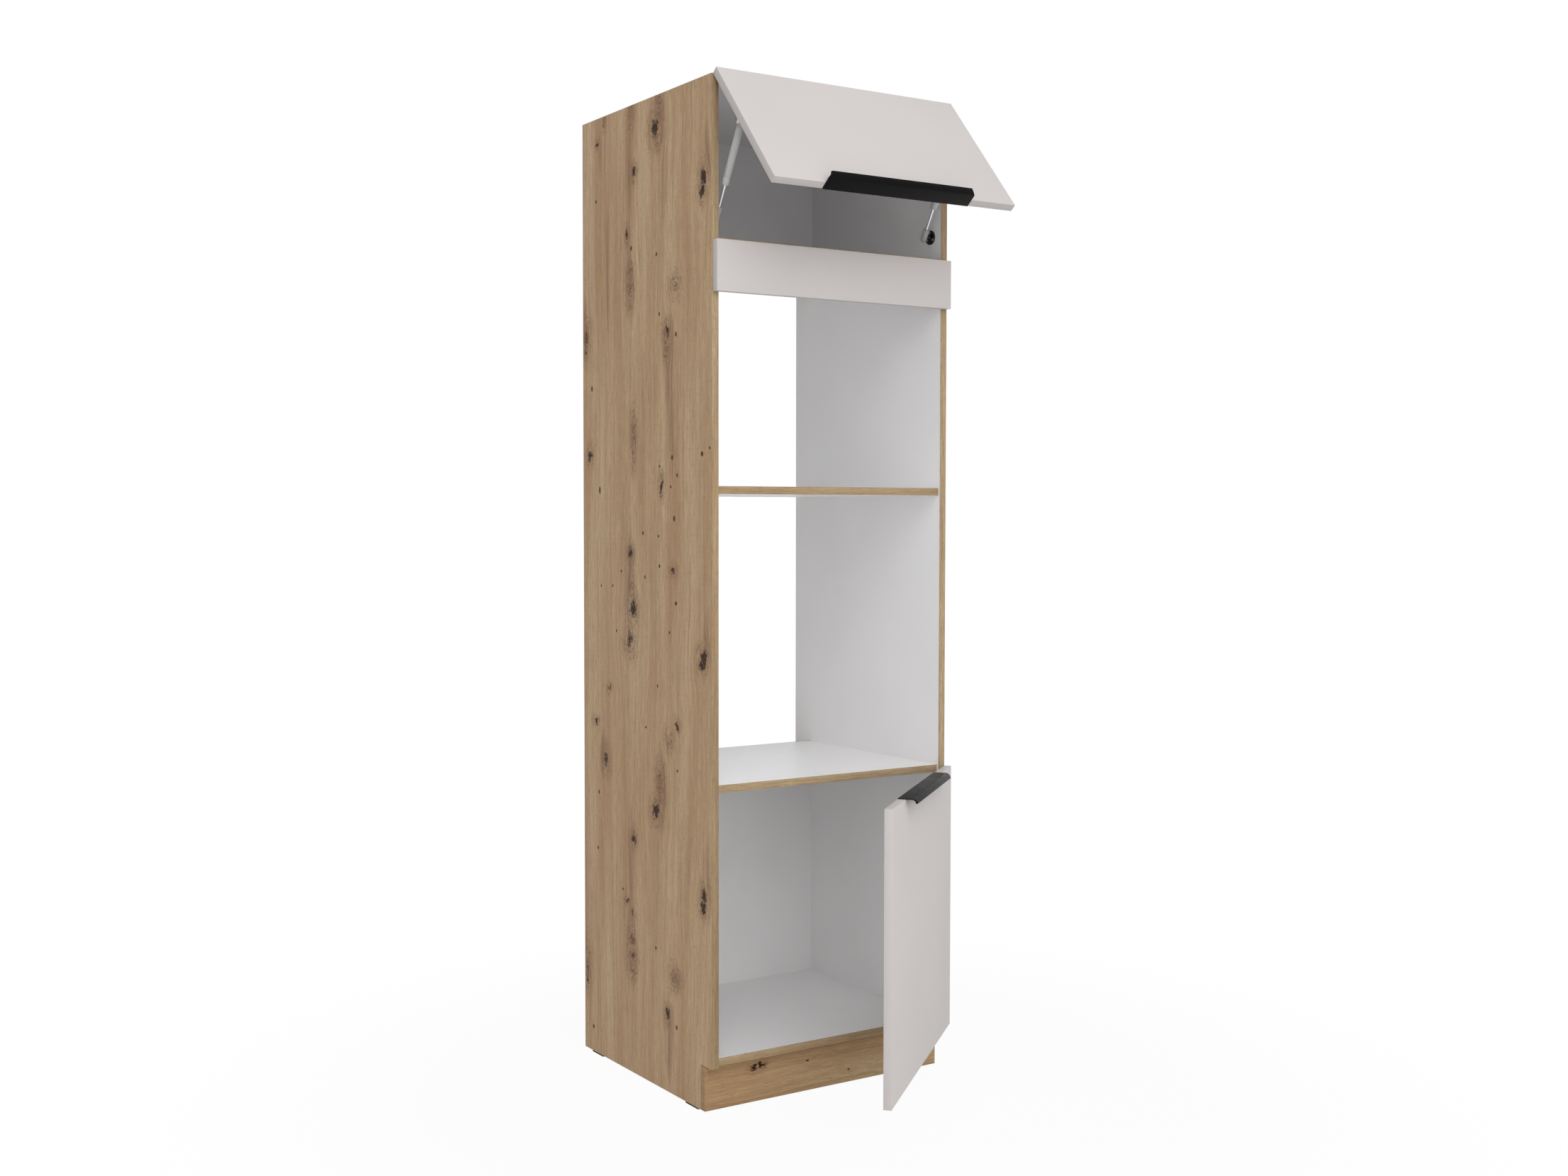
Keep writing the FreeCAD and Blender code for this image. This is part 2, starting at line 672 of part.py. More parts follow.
bore = "hinge_cup_radius + hinge_bore_play"
DOOR_HINGES = ("door_z + door_hinge_inset", "door_z + door_height - door_hinge_inset")
FLAP_HINGES = ("-half_front + flap_hinge_inset", "half_front - flap_hinge_inset")
front_panel("lower_door", "-front_width", "0", "door_z", "door_z + door_height",
            [("-hinge_cup_centre", z, bore) for z in DOOR_HINGES], DOOR_FRAME)
front_panel("lift_flap", "-half_front", "half_front", "-flap_height", "0",
            [(x, "-hinge_cup_centre", bore) for x in FLAP_HINGES], FLAP_FRAME)

# edge handle: a flat leg on the front's edge that rolls over into a thick lip
handle = body("handle_form")
drawn = outline(handle, "handle_profile", "YZ_Plane", [
    ("0", "0"),
    ("0", "handle_thickness"),
    ("-handle_flat", "handle_thickness", "handle_outer_radius", 1),
    ("-lip_tip_y", "lip_tip_z"),
    ("-lip_inner_y", "lip_inner_z", "lip_inner_radius", -1),
    ("-handle_flat", "0"),
], lift="-handle_length / 2")
pad(handle, "handle_bar", drawn, "handle_length")
for hand, sign in (("left", "-"), ("right", "")):
    drawn = outline(handle, "handle_corner_line_" + hand, "XY_Plane", [
        (sign + "(handle_length / 2 + handle_corner_width)", "-lip_tip_y - handle_corner_depth"),
        (sign + "(handle_length / 2 + handle_corner_width)", "-lip_tip_y + handle_corner_depth"),
        (sign + "(handle_length / 2)", "-lip_tip_y + handle_corner_depth"),
        (sign + "(handle_length / 2 - handle_corner_width)", "-lip_tip_y"),
        (sign + "(handle_length / 2 - handle_corner_width)", "-lip_tip_y - handle_corner_depth"),
    ], lift="handle_outer_radius * 2")
    pocket(handle, "handle_corner_" + hand, drawn, "handle_outer_radius * 4")
node(group("door_handle", [group("door_handle_seat", [handle], "-half_front", "0", "door_z + door_height")],
           **DOOR_FRAME))
node(group("flap_handle", [group("flap_handle_seat", [handle], "0", "0", "-flap_height", (0, 1, 0), "180")],
           **FLAP_FRAME))

# concealed hinges, drawn closed: x across the front from its hinge edge, y into the cabinet, z along the hinge
cup = body("hinge_cup_form")
drawn = outline(cup, "hinge_flange_line", "XZ_Plane",
                rounded("hinge_flange_depth / 2", "hinge_flange_length / 2", "hinge_flange_corner",
                        u="hinge_cup_centre + hinge_flange_shift"))
pad(cup, "hinge_flange", drawn, "hinge_flange_thickness", True)
drawn = rounds(cup, "hinge_cup_line", "XZ_Plane", [("hinge_cup_centre", "0", "hinge_cup_radius")])
pad(cup, "hinge_cup", drawn, "hinge_cup_depth")
drawn = rounds(cup, "hinge_mouth_line", "XZ_Plane", [("hinge_cup_centre", "0", "hinge_mouth_radius")],
               lift="-hinge_flange_thickness")
pocket(cup, "hinge_mouth", drawn, "hinge_flange_thickness + hinge_cup_depth - hinge_cup_wall", True)


def link_form(label, turn):
    # flat link with a barrel at each end: one on the cup's pin, one on the pin between the arm's cheeks
    owner = body(label)
    drawn = outline(owner, label + "_line", "XY_Plane", [
        ("-hinge_link_thickness / 2", "0"),
        ("hinge_link_thickness / 2", "0"),
        ("hinge_link_thickness / 2", "hinge_link_length"),
        ("-hinge_link_thickness / 2", "hinge_link_length"),
    ], lift="-hinge_link_width / 2")
    pad(owner, label + "_strip", drawn, "hinge_link_width")
    for end, station in (("cup", "0"), ("arm", "hinge_link_length")):
        drawn = rounds(owner, label + "_%s_ring" % end, "XY_Plane", [("0", station, "hinge_link_eye")],
                       lift="-hinge_link_width / 2")
        pad(owner, label + "_%s_barrel" % end, drawn, "hinge_link_width")
    for end, station, length in (
        ("cup", "0", "hinge_pin_length"),
        ("arm", "hinge_link_length", "hinge_arm_inside - 2 * hinge_pin_play"),
    ):
        drawn = rounds(owner, label + "_%s_pin_line" % end, "XY_Plane", [("0", station, "hinge_pin_diameter / 2")],
                       lift="-(" + length + ") / 2")
        pad(owner, label + "_%s_pin" % end, drawn, length)
    return put(owner, axis=(0, 0, 1), angle=turn)


def arm_form(label):
    # channel-shaped arm, open towards the board, with a sloping nose over the cup
    owner = body(label)
    top = "hinge_arm_foot + hinge_arm_height"
    drawn = outline(owner, label + "_side_line", "XY_Plane", [
        ("hinge_arm_foot", "hinge_arm_nose"),
        (top + " - hinge_arm_nose_slope", "hinge_arm_nose"),
        (top, "hinge_arm_nose + hinge_arm_nose_length"),
        (top, "hinge_arm_length"),
        ("hinge_arm_foot", "hinge_arm_length"),
    ], lift="-hinge_arm_inside / 2 - hinge_arm_sheet")
    pad(owner, label + "_block", drawn, "hinge_arm_inside + 2 * hinge_arm_sheet")
    inner = top + " - hinge_arm_sheet"
    drawn = outline(owner, label + "_channel_line", "XY_Plane", [
        ("hinge_arm_foot - hinge_arm_sheet", "hinge_arm_nose - hinge_arm_sheet"),
        (inner + " - hinge_arm_nose_slope", "hinge_arm_nose - hinge_arm_sheet"),
        (inner + " - hinge_arm_nose_slope", "hinge_arm_nose"),
        (inner, "hinge_arm_nose + hinge_arm_nose_length"),
        (inner, "hinge_arm_length + hinge_arm_sheet"),
        ("hinge_arm_foot - hinge_arm_sheet", "hinge_arm_length + hinge_arm_sheet"),
    ], lift="-hinge_arm_inside / 2")
    pocket(owner, label + "_channel", drawn, "hinge_arm_inside", True)
    return owner


def plate_form(label, overlay):
    # mounting plate: two screw wings on the board and a rib that fills the arm's channel
    owner = body(label)
    drawn = outline(owner, label + "_wing_line", "YZ_Plane",
                    rounded("hinge_plate_length / 2", "hinge_plate_span / 2", "hinge_plate_corner",
                            u="hinge_plate_start + hinge_plate_length / 2"), lift=overlay)
    pad(owner, label + "_wings", drawn, "hinge_arm_foot - hinge_plate_play - " + overlay)
    rib = "hinge_arm_inside / 2 - hinge_rib_play"
    drawn = outline(owner, label + "_rib_line", "YZ_Plane", [
        ("hinge_rib_start", "-(" + rib + ")"), ("hinge_rib_start + hinge_rib_length", "-(" + rib + ")"),
        ("hinge_rib_start + hinge_rib_length", rib), ("hinge_rib_start", rib),
    ], lift=overlay)
    pad(owner, label + "_rib", drawn, "hinge_arm_foot + hinge_rib_height - " + overlay)
    middle = "hinge_plate_start + hinge_plate_length / 2"
    drawn = rounds(owner, label + "_screw_line", "YZ_Plane", [
        (middle, "-hinge_screw_spacing / 2", "hinge_screw_diameter / 2"),
        (middle, "hinge_screw_spacing / 2", "hinge_screw_diameter / 2"),
    ], lift="hinge_arm_foot")
    pocket(owner, label + "_screw_holes", drawn, "hinge_arm_foot")
    return owner


arm = arm_form("hinge_arm_form")
door_plate = plate_form("door_plate_form", "door_overlay")
flap_plate = plate_form("flap_plate_form", "flap_overlay")
door_link = link_form("door_link_form", "door_link_turn")
flap_link = link_form("flap_link_form", "flap_link_turn")


def hinge_set(label, form, along, turn_angle, x="0", y="0"):
    # copies of one hinge piece at its stations along the hinge line
    made = []
    for i, station in enumerate(along):
        if turn_angle == "180":
            made.append(group("%s_%d" % (label, i), [form], "-(" + x + ")" if x != "0" else "0", y, station,
                              (0, 1, 0), turn_angle))
        else:
            made.append(group("%s_%d" % (label, i), [form], station, y, "-(" + x + ")" if x != "0" else "0",
                              (0, 1, 0), turn_angle))
    return made


pin = dict(x="hinge_pin_across", y="-hinge_pin_below")
for tag, stations, turn, frame, plate, link in (
    ("door", DOOR_HINGES, "180", DOOR_FRAME, door_plate, door_link),
    ("flap", FLAP_HINGES, "90", FLAP_FRAME, flap_plate, flap_link),
):
    closed = {k: v for k, v in frame.items() if k in "xyz"}
    node(group(tag + "_hinge_cups", hinge_set(tag + "_cup", cup, stations, turn), **frame))
    node(group(tag + "_hinge_links", hinge_set(tag + "_link", link, stations, turn, **pin), **frame))
    node(group(tag + "_hinge_arms", hinge_set(tag + "_arm", arm, stations, turn), **closed))
    node(group(tag + "_hinge_plates", hinge_set(tag + "_plate", plate, stations, turn), **closed))

# gas struts, drawn upright about the lower ball and leant to the flap's ball


def socket_form(label, hollow):
    # end fitting: a rounded shank; the upper one is bored from the side for the flap's ball
    shank = cylinder(label + "_shank", "strut_socket_radius", "strut_socket_above + strut_socket_below"
                     " - strut_socket_radius", z="-strut_socket_below + strut_socket_radius")
    dome = ball(label + "_dome", "strut_socket_radius", z="-strut_socket_below + strut_socket_radius")
    whole = fuse(label, [shank, dome])
    if not hollow:
        return whole
    room = "strut_ball_radius + strut_ball_play"
    bore = cylinder(label + "_bore", room, "strut_socket_width", "-(" + room + ")", axis=(0, 1, 0), angle="90")
    return cut(label + "_bored", whole, [bore])


low_socket = socket_form("low_socket_form", False)
high_socket = socket_form("high_socket_form", True)

tube = body("strut_tube_form")
end = "strut_tube_end"
drawn = outline(tube, "strut_tube_profile", "XZ_Plane", [
    ("strut_rod_radius + strut_rod_play", "strut_length - " + end),
    ("strut_tube_radius", "strut_length - " + end),
    ("strut_tube_radius", "strut_length - " + end + " + strut_cap_length"),
    ("strut_tube_radius - strut_cap_groove", "strut_length - " + end + " + strut_cap_length"),
    ("strut_tube_radius - strut_cap_groove", "strut_length - " + end + " + strut_cap_length + strut_cap_groove"),
    ("strut_tube_radius", "strut_length - " + end + " + strut_cap_length + strut_cap_groove"),
    ("strut_tube_radius", "strut_length - strut_socket_above"),
    ("0", "strut_length - strut_socket_above"),
    ("0", "strut_length - strut_socket_above - strut_tube_wall"),
    ("strut_bore_radius", "strut_length - strut_socket_above - strut_tube_wall"),
    ("strut_bore_radius", "strut_length - " + end + " + strut_tube_wall"),
    ("strut_rod_radius + strut_rod_play", "strut_length - " + end + " + strut_tube_wall"),
])
spin(tube, "strut_tube_turned", drawn)

rod = body("strut_rod_form")
high = "strut_socket_above + strut_rod_length"
drawn = outline(rod, "strut_rod_profile", "XZ_Plane", [
    ("0", "strut_socket_above"),
    ("strut_rod_radius", "strut_socket_above"),
    ("strut_rod_radius", high + " - strut_piston_length"),
    ("strut_bore_radius - strut_rod_play", high + " - strut_piston_length"),
    ("strut_bore_radius - strut_rod_play", high),
    ("0", high),
])
spin(rod, "strut_rod_turned", drawn)

# base on the side panel: a chrome disc with a short stud towards the socket
base = body("strut_base_form")
drawn = outline(base, "strut_base_profile", "XZ_Plane", [
    ("0", "strut_stud_x"),
    ("strut_stud_diameter / 2", "strut_stud_x"),
    ("strut_stud_diameter / 2", "inner_x - strut_base_thickness"),
    ("strut_base_diameter / 2 - strut_base_chamfer", "inner_x - strut_base_thickness"),
    ("strut_base_diameter / 2", "inner_x - strut_base_thickness + strut_base_chamfer"),
    ("strut_base_diameter / 2", "inner_x"),
    ("0", "inner_x"),
])
spin(base, "strut_base_turned", drawn)


def ear_form(label):
    # bracket on the flap's back, drawn closed for the right side: foot, ear and ball stud
    drop = "-strut_high_drop"
    foot = box(label + "_foot", "strut_foot_width", "angle_thickness", "strut_foot_length",
               "strut_ear_x + strut_ear_thickness - strut_foot_width", "0", drop + " - strut_foot_length / 2")
    ear = box(label + "_ear", "strut_ear_thickness", "strut_high_stand", "strut_ear_width",
              "strut_ear_x", "0", drop + " - strut_ear_width / 2")
    crown = cylinder(label + "_crown", "strut_ear_width / 2", "strut_ear_thickness",
                     "strut_ear_x", "strut_high_stand", drop, (0, 1, 0), "90")
    neck = cylinder(label + "_neck", "strut_neck_diameter / 2", "strut_ear_x - strut_x",
                    "strut_x", "strut_high_stand", drop, (0, 1, 0), "90")
    tip = ball(label + "_tip", "strut_ball_radius", "strut_x", "strut_high_stand", drop)
    return fuse(label, [foot, ear, crown, neck, tip])


ear = ear_form("strut_ear_form")
ears, bases = [], []
for hand, sign, turn in (("left", "-", "180"), ("right", "", "0")):
    lean = dict(x=sign + "strut_x", y="strut_low_y", z="strut_low_z", axis=(1, 0, 0), angle="strut_lean")
    node(group("strut_tube_" + hand, [tube], **lean))
    node(group("strut_rod_" + hand, [rod], **lean))
    node(group("strut_lower_socket_" + hand, [low_socket], **lean))
    # the upper fitting points down the strut from its ball, with its neck towards the side panel
    flip = group("high_socket_flip_" + hand, [high_socket], z="strut_length", axis=(1, 0, 0), angle="180")
    if hand == "left":
        flip = group("high_socket_mirror", [high_socket], z="strut_length", axis=(0, 1, 0), angle="180")
    node(group("strut_upper_socket_" + hand, [flip], **lean))
    bases.append(group("strut_base_" + hand, [base], "0", "strut_low_y", "strut_low_z", (0, 1, 0),
                       "90" if hand == "right" else "-90"))
node(group("strut_base_plates", bases))
mirror = doc.addObject("Part::Mirroring", "strut_ear_mirror")
mirror.Source = ear
mirror.Normal = FreeCAD.Vector(1, 0, 0)
node(group("strut_ball_brackets", [ear, mirror], **FLAP_FRAME))

doc.recompute()
for thing in doc.Objects:
    if "Invalid" in thing.State or "Error" in thing.State:
        raise RuntimeError("%s failed: %s" % (thing.Label, thing.State))
os.makedirs("parts", exist_ok=True)
for thing in nodes:
    shape = thing.Shape
    if shape.isNull() or not shape.isValid() or not shape.Solids:
        raise RuntimeError(thing.Label + " has no valid solid")
    shape.exportStep("parts/%s.step" % thing.Label)
    box_found = shape.BoundBox
    print("%-26s solids %2d  x %8.1f %8.1f  y %8.1f %8.1f  z %8.1f %8.1f" % (
        thing.Label, len(shape.Solids), box_found.XMin, box_found.XMax, box_found.YMin, box_found.YMax,
        box_found.ZMin, box_found.ZMax))
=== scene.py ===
import bmesh
import bpy
import math
from mathutils import Matrix, Vector


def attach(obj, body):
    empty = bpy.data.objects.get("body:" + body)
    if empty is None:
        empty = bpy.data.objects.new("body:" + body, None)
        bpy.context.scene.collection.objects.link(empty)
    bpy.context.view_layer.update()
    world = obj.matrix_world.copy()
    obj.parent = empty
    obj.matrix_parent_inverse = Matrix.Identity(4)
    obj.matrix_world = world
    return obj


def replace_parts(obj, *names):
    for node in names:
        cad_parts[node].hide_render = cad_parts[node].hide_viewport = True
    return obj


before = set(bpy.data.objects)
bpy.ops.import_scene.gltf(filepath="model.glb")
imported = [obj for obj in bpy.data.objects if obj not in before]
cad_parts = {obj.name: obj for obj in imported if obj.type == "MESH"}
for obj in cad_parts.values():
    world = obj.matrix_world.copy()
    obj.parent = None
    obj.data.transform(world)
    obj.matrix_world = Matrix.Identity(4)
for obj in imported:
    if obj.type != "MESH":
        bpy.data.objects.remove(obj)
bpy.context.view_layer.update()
print("frame loaded:", len(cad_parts), "nodes")

mm = 0.001
noiseSpan = (0.3, 0.7)         # nearly all values of a noise lie between these


def perMetre(*sizes):
    # cells per metre of a pattern, from the size in mm of one cell along each axis
    return tuple(1000 / size for size in sizes)


def tone(hexText, share=1.0):
    # sRGB hex to the linear colour that a shader takes, or a darker share of it
    channels = [int(hexText[i:i + 2], 16) / 255 for i in (1, 3, 5)]
    linear = [c / 12.92 if c <= 0.04045 else ((c + 0.055) / 1.055) ** 2.4 for c in channels]
    return tuple(c * share for c in linear) + (1.0,)


def addNode(tree, kind, inputs=(), out=0, **settings):
    # one node with its settings; inputs stand in order or by name, each a plain value or another node's output
    made = tree.nodes.new("ShaderNode" + kind)
    for key, value in settings.items():
        setattr(made, key, value)
    for key, value in inputs.items() if isinstance(inputs, dict) else enumerate(inputs):
        if isinstance(value, bpy.types.NodeSocket):
            tree.links.new(value, made.inputs[key])
        else:
            made.inputs[key].default_value = value
    return made.outputs[out]


def newMaterial(name, **sockets):
    # a Principled material; values that are the same all over sit on the shader's own sockets
    material = bpy.data.materials.new(name)
    material.use_nodes = True
    tree = material.node_tree
    shader = tree.nodes["Principled BSDF"]
    for key, value in sockets.items():
        shader.inputs[key.replace("_", " ")].default_value = value
    return material, tree, shader


def finishSkin(tree, shader, colour, sheen, gloss, grain, relief, span=noiseSpan):
    # colour, a roughness that follows sheen from one gloss to the other, and a relief that follows
    # grain, given as its strength and its depth in mm
    tree.links.new(colour, shader.inputs["Base Color"])
    tree.links.new(addNode(tree, "MapRange", (sheen, *span, *gloss)), shader.inputs["Roughness"])
    strength, depth = relief
    bump = addNode(tree, "Bump", {"Strength": strength, "Distance": depth * mm, "Height": grain})
    tree.links.new(bump, shader.inputs["Normal"])


def smallest(tree, trios):
    # the least value in a list of vectors that hold three values each
    least = trios[0]
    for trio in trios[1:]:
        least = addNode(tree, "VectorMath", (least, trio), operation="MINIMUM")
    parts = addNode(tree, "SeparateXYZ", (least,)).node.outputs
    pair = addNode(tree, "Math", (parts[1], parts[2]), operation="MINIMUM")
    return addNode(tree, "Math", (parts[0], pair), operation="MINIMUM")


def knotFields(tree, flat, rows):
    # knots in threes, so that one vector node works on three at once: the knots, how far across
    # each of them a point lies, and its squared distance, both in knot widths
    farOff = (9.0e3, 9.0e3, 1.0, 1.0, 0.0)
    rows = list(rows) + [farOff] * (-len(rows) % 3)
    parts = addNode(tree, "SeparateXYZ", (flat,)).node.outputs
    lines = [addNode(tree, "CombineXYZ", (parts[axis],) * 3) for axis in (0, 1)]
    fields = []
    for first in range(0, len(rows), 3):
        trio = rows[first:first + 3]
        rays = []
        for axis in (0, 1):
            spans = [1 / (knot[2 + axis] * mm) for knot in trio]
            shifts = [-knot[axis] * mm * span for knot, span in zip(trio, spans)]
            rays.append(addNode(tree, "VectorMath", (lines[axis], spans, shifts), operation="MULTIPLY_ADD"))
        squares = addNode(tree, "VectorMath", (rays[1], rays[1]), operation="MULTIPLY")
        reach = addNode(tree, "VectorMath", (rays[0], rays[0], squares), operation="MULTIPLY_ADD")
        fields.append((trio, rays[0], reach))
    return fields


oakLook = {
    "pale": "#d1b590",         # sapwood strips
    "warm": "#bd9a75",         # reddish strips
    "line": "#9a7858",         # growth lines
    "pore": "#84644a",         # open pores
    "trail": "#8a6751",        # heart streaks through the knots
    "ring": "#77543f",         # bark rings round a knot
    "core": "#331e15",         # dead knot
    "satin": 0.46,             # roughness of the pressed skin
    "gloss": (0.41, 0.53),     # how far it varies with the relief
    "relief": (0.35, 0.12),    # strength and depth in mm
    "sheen": 0.1,              # its specular level: the print stays deep and clear of glare
    "wander": 6,               # mm that growth lines stray to either side
    "ragged": (26, 36, 0),     # mm that a knot's outline strays
    "bandTint": (0.78, 0.82, 0.82),
    "levelTint": (0.82, 0.89, 0.91),
    "plinthTint": (0.88, 0.89, 0.85),
}
# size of a cell in mm across and along the grain, detail, roughness and distortion of each layer;
# fibres and pores are coarser than real ones, so that they show
oakGrain = {
    "wander": (111, 476, 2.0, 0.5, 0.0),
    "ragged": (8.333, 12.5, 3.0, 0.5, 0.0),
    "strips": (62, 769, 3.0, 0.5, 0.0),        # a tree's growth strips
    "lines": (8, 312.5, 4.0, 0.62, 0.0),       # growth lines
    "fibres": (2.4, 41.67, 3.0, 0.65, 0.0),
    "pores": (1.5, 11, 1.0, 0.5, 0.0),
    "swirls": (4.5, 26, 3.0, 0.65, 0.0),       # strands in the bark round a knot
    "curls": (13, 38, 2.0, 0.5, 0.6),          # loops of its hair cracks
    "cracks": (2.7778, 6.667, 3.0, 0.65, 0.0),     # a dead knot's broken outline
    "pressed": (2.4, 90.9, 2.0, 0.6, 0.0),     # relief that is pressed in with the print
}

# knots and streaks of the oak print as (across, along, half width, half height, darkness), mm from the panel's corner
sideKnots = [
    (198, 2034, 15, 19, 1.0), (180, 2076, 10, 24, 0.5), (188, 2010, 11, 15, 0.3), (454, 2045, 6, 6, 0.95),
    (424, 2088, 6, 12, 0.5), (303, 2084, 8, 20, 0.35), (290, 1957, 9, 12, 1.0), (4, 1902, 11, 17, 1.0),
    (8, 1874, 11, 15, 1.0), (320, 1826, 6, 12, 0.95), (307, 1738, 10, 14, 0.6), (307, 1708, 11, 16, 0.6),
    (308, 1680, 9, 12, 0.45), (117, 1697, 13, 15, 0.45), (509, 1622, 11, 24, 0.7), (512, 1590, 7.5, 12, 0.8),
    (150, 1608, 9, 14, 1.0), (152, 1575, 9, 18, 0.35), (493, 1357, 10, 13, 1.0), (173, 1282, 7.5, 15, 1.0),
    (308, 1140, 10, 12, 0.95), (126, 1109, 9, 8, 0.85), (295, 1020, 15, 17, 1.0), (300, 1052, 7, 22, 0.45),
    (311, 951, 16, 20, 0.8), (3, 936, 14, 15, 1.0), (9, 920, 12.5, 12, 1.0), (403, 841, 7.5, 7, 0.9),
    (467, 760, 9, 8, 0.95), (111, 784, 9, 9, 0.9), (142, 752, 12, 12, 0.45), (420, 678, 11, 18, 0.85),
    (181, 668, 11, 20, 0.5), (178, 636, 10, 18, 0.45), (198, 594, 15, 17, 1.0), (295, 518, 9, 12, 1.0),
    (325, 379, 7.5, 7, 1.0), (302, 353, 6, 8, 0.85), (2, 449, 11, 15, 1.0), (5, 424, 11, 13, 1.0),
    (303, 300, 9, 16, 0.65), (301, 262, 12.5, 14, 0.7), (302, 236, 10, 14, 0.5), (119, 254, 14, 15, 0.5),
    (511, 190, 9, 26, 0.65), (513, 160, 7.5, 10, 0.8), (150, 170, 10, 15, 0.95), (291, 1395, 8, 30, 0.25),
]
sidePins = [
    (461, 1919, 3.5, 4), (302, 1796, 4, 5), (193, 1770, 3.5, 4), (181, 1644, 3, 4), (113, 1596, 3.5, 5),
    (483, 1506, 4, 6), (10, 1347, 5, 5), (-20, 1358, 3, 3), (447, 1279, 4, 8), (181, 1326, 3, 3),
    (109, 1306, 3, 4), (135, 1282, 3, 3), (129, 1343, 4, 5), (121, 1216, 4, 6), (252, 1185, 3.5, 4),
    (182, 1116, 3.5, 4), (244, 1091, 3, 4), (349, 1101, 3, 3), (441, 1066, 2.5, 3), (388, 1068, 3, 3),
    (114, 1040, 4.5, 4), (141, 978, 3, 3), (371, 969, 3, 3), (191, 862, 2.5, 4), (241, 769, 3, 3),
    (455, 601, 3, 5), (109, 691, 3, 3), (460, 474, 3.5, 4), (113, 150, 3.5, 5), (484, 60, 4, 5),
    (186, 1179, 3, 3), (344, 401, 3, 3), (200, 300, 3, 4),
]
sideTrails = [
    (303, 1960, 15, 150, 0.8), (306, 1770, 16, 140, 0.7), (186, 2040, 26, 80, 0.6), (170, 1920, 24, 110, 0.45),
    (2, 1950, 14, 70, 0.7), (150, 1540, 24, 120, 0.6), (509, 1640, 14, 80, 0.8), (438, 2040, 18, 80, 0.5),
    (305, 1070, 15, 110, 0.75), (291, 1375, 18, 90, 0.6), (181, 640, 17, 110, 0.6), (300, 470, 15, 130, 0.7),
    (304, 280, 16, 110, 0.7), (0, 490, 15, 80, 0.65), (150, 110, 22, 90, 0.6), (511, 200, 14, 90, 0.8),
    (119, 250, 18, 30, 0.6), (420, 690, 15, 60, 0.6), (2, 980, 14, 60, 0.6), (140, 1420, 16, 130, 0.4),
    (400, 1750, 14, 190, 0.35),
]
plinthKnots = [(75, -178, 5.5, 10, 1.0), (80, -163, 5, 9, 1.0)]
plinthPins = [(68, -45, 2, 4), (31, 63, 2, 3)]

# how each layer's noise is laid on: the range that is used of it, then the strengths at that range's ends
printLook = {
    "strips": (0.35, 0.65),
    "lines": (0.43, 0.78, 0.0, 0.62),
    "fibres": (0.37, 0.7, 0.0, 0.42),
    "pores": (0.6, 0.74, 0.0, 0.5),
    "trailReach": (1.5, 0.1),              # where a heart streak ends and where it is full
    "trailStrands": (0.32, 0.62, 0.05, 1.05),
    "trailStrength": 0.9,
}
# distances from a knot's centre are in its own half widths
knotLook = {
    "pushed": 1.7,                         # how far growth lines run round it
    "pushFade": 1.4,
    "paleness": 1.9,                       # a pale knot counts as up to that much farther away
    "ringStep": 11.0,                      # bark rings, in radians to a half width
    "ringDepth": (-0.5, 0.9, 0.15, 1.0),
    "barkReach": (3.2, 0.8),
    "barkStrands": (0.36, 0.62, 0.2, 1.0),
    "hairWidth": (0.035, 0.006),           # of the noise, either side of its middle value
    "hairReach": (2.7, 1.0, 0.0, 0.32),
    "outline": (*noiseSpan, -0.45, 0.75),  # how far the noise breaks the core's outline
    "coreReach": (1.3, 0.5),               # where the dark core ends and where it is full
    "pinReach": (1.7, 0.5, 0.0, 0.9),
}


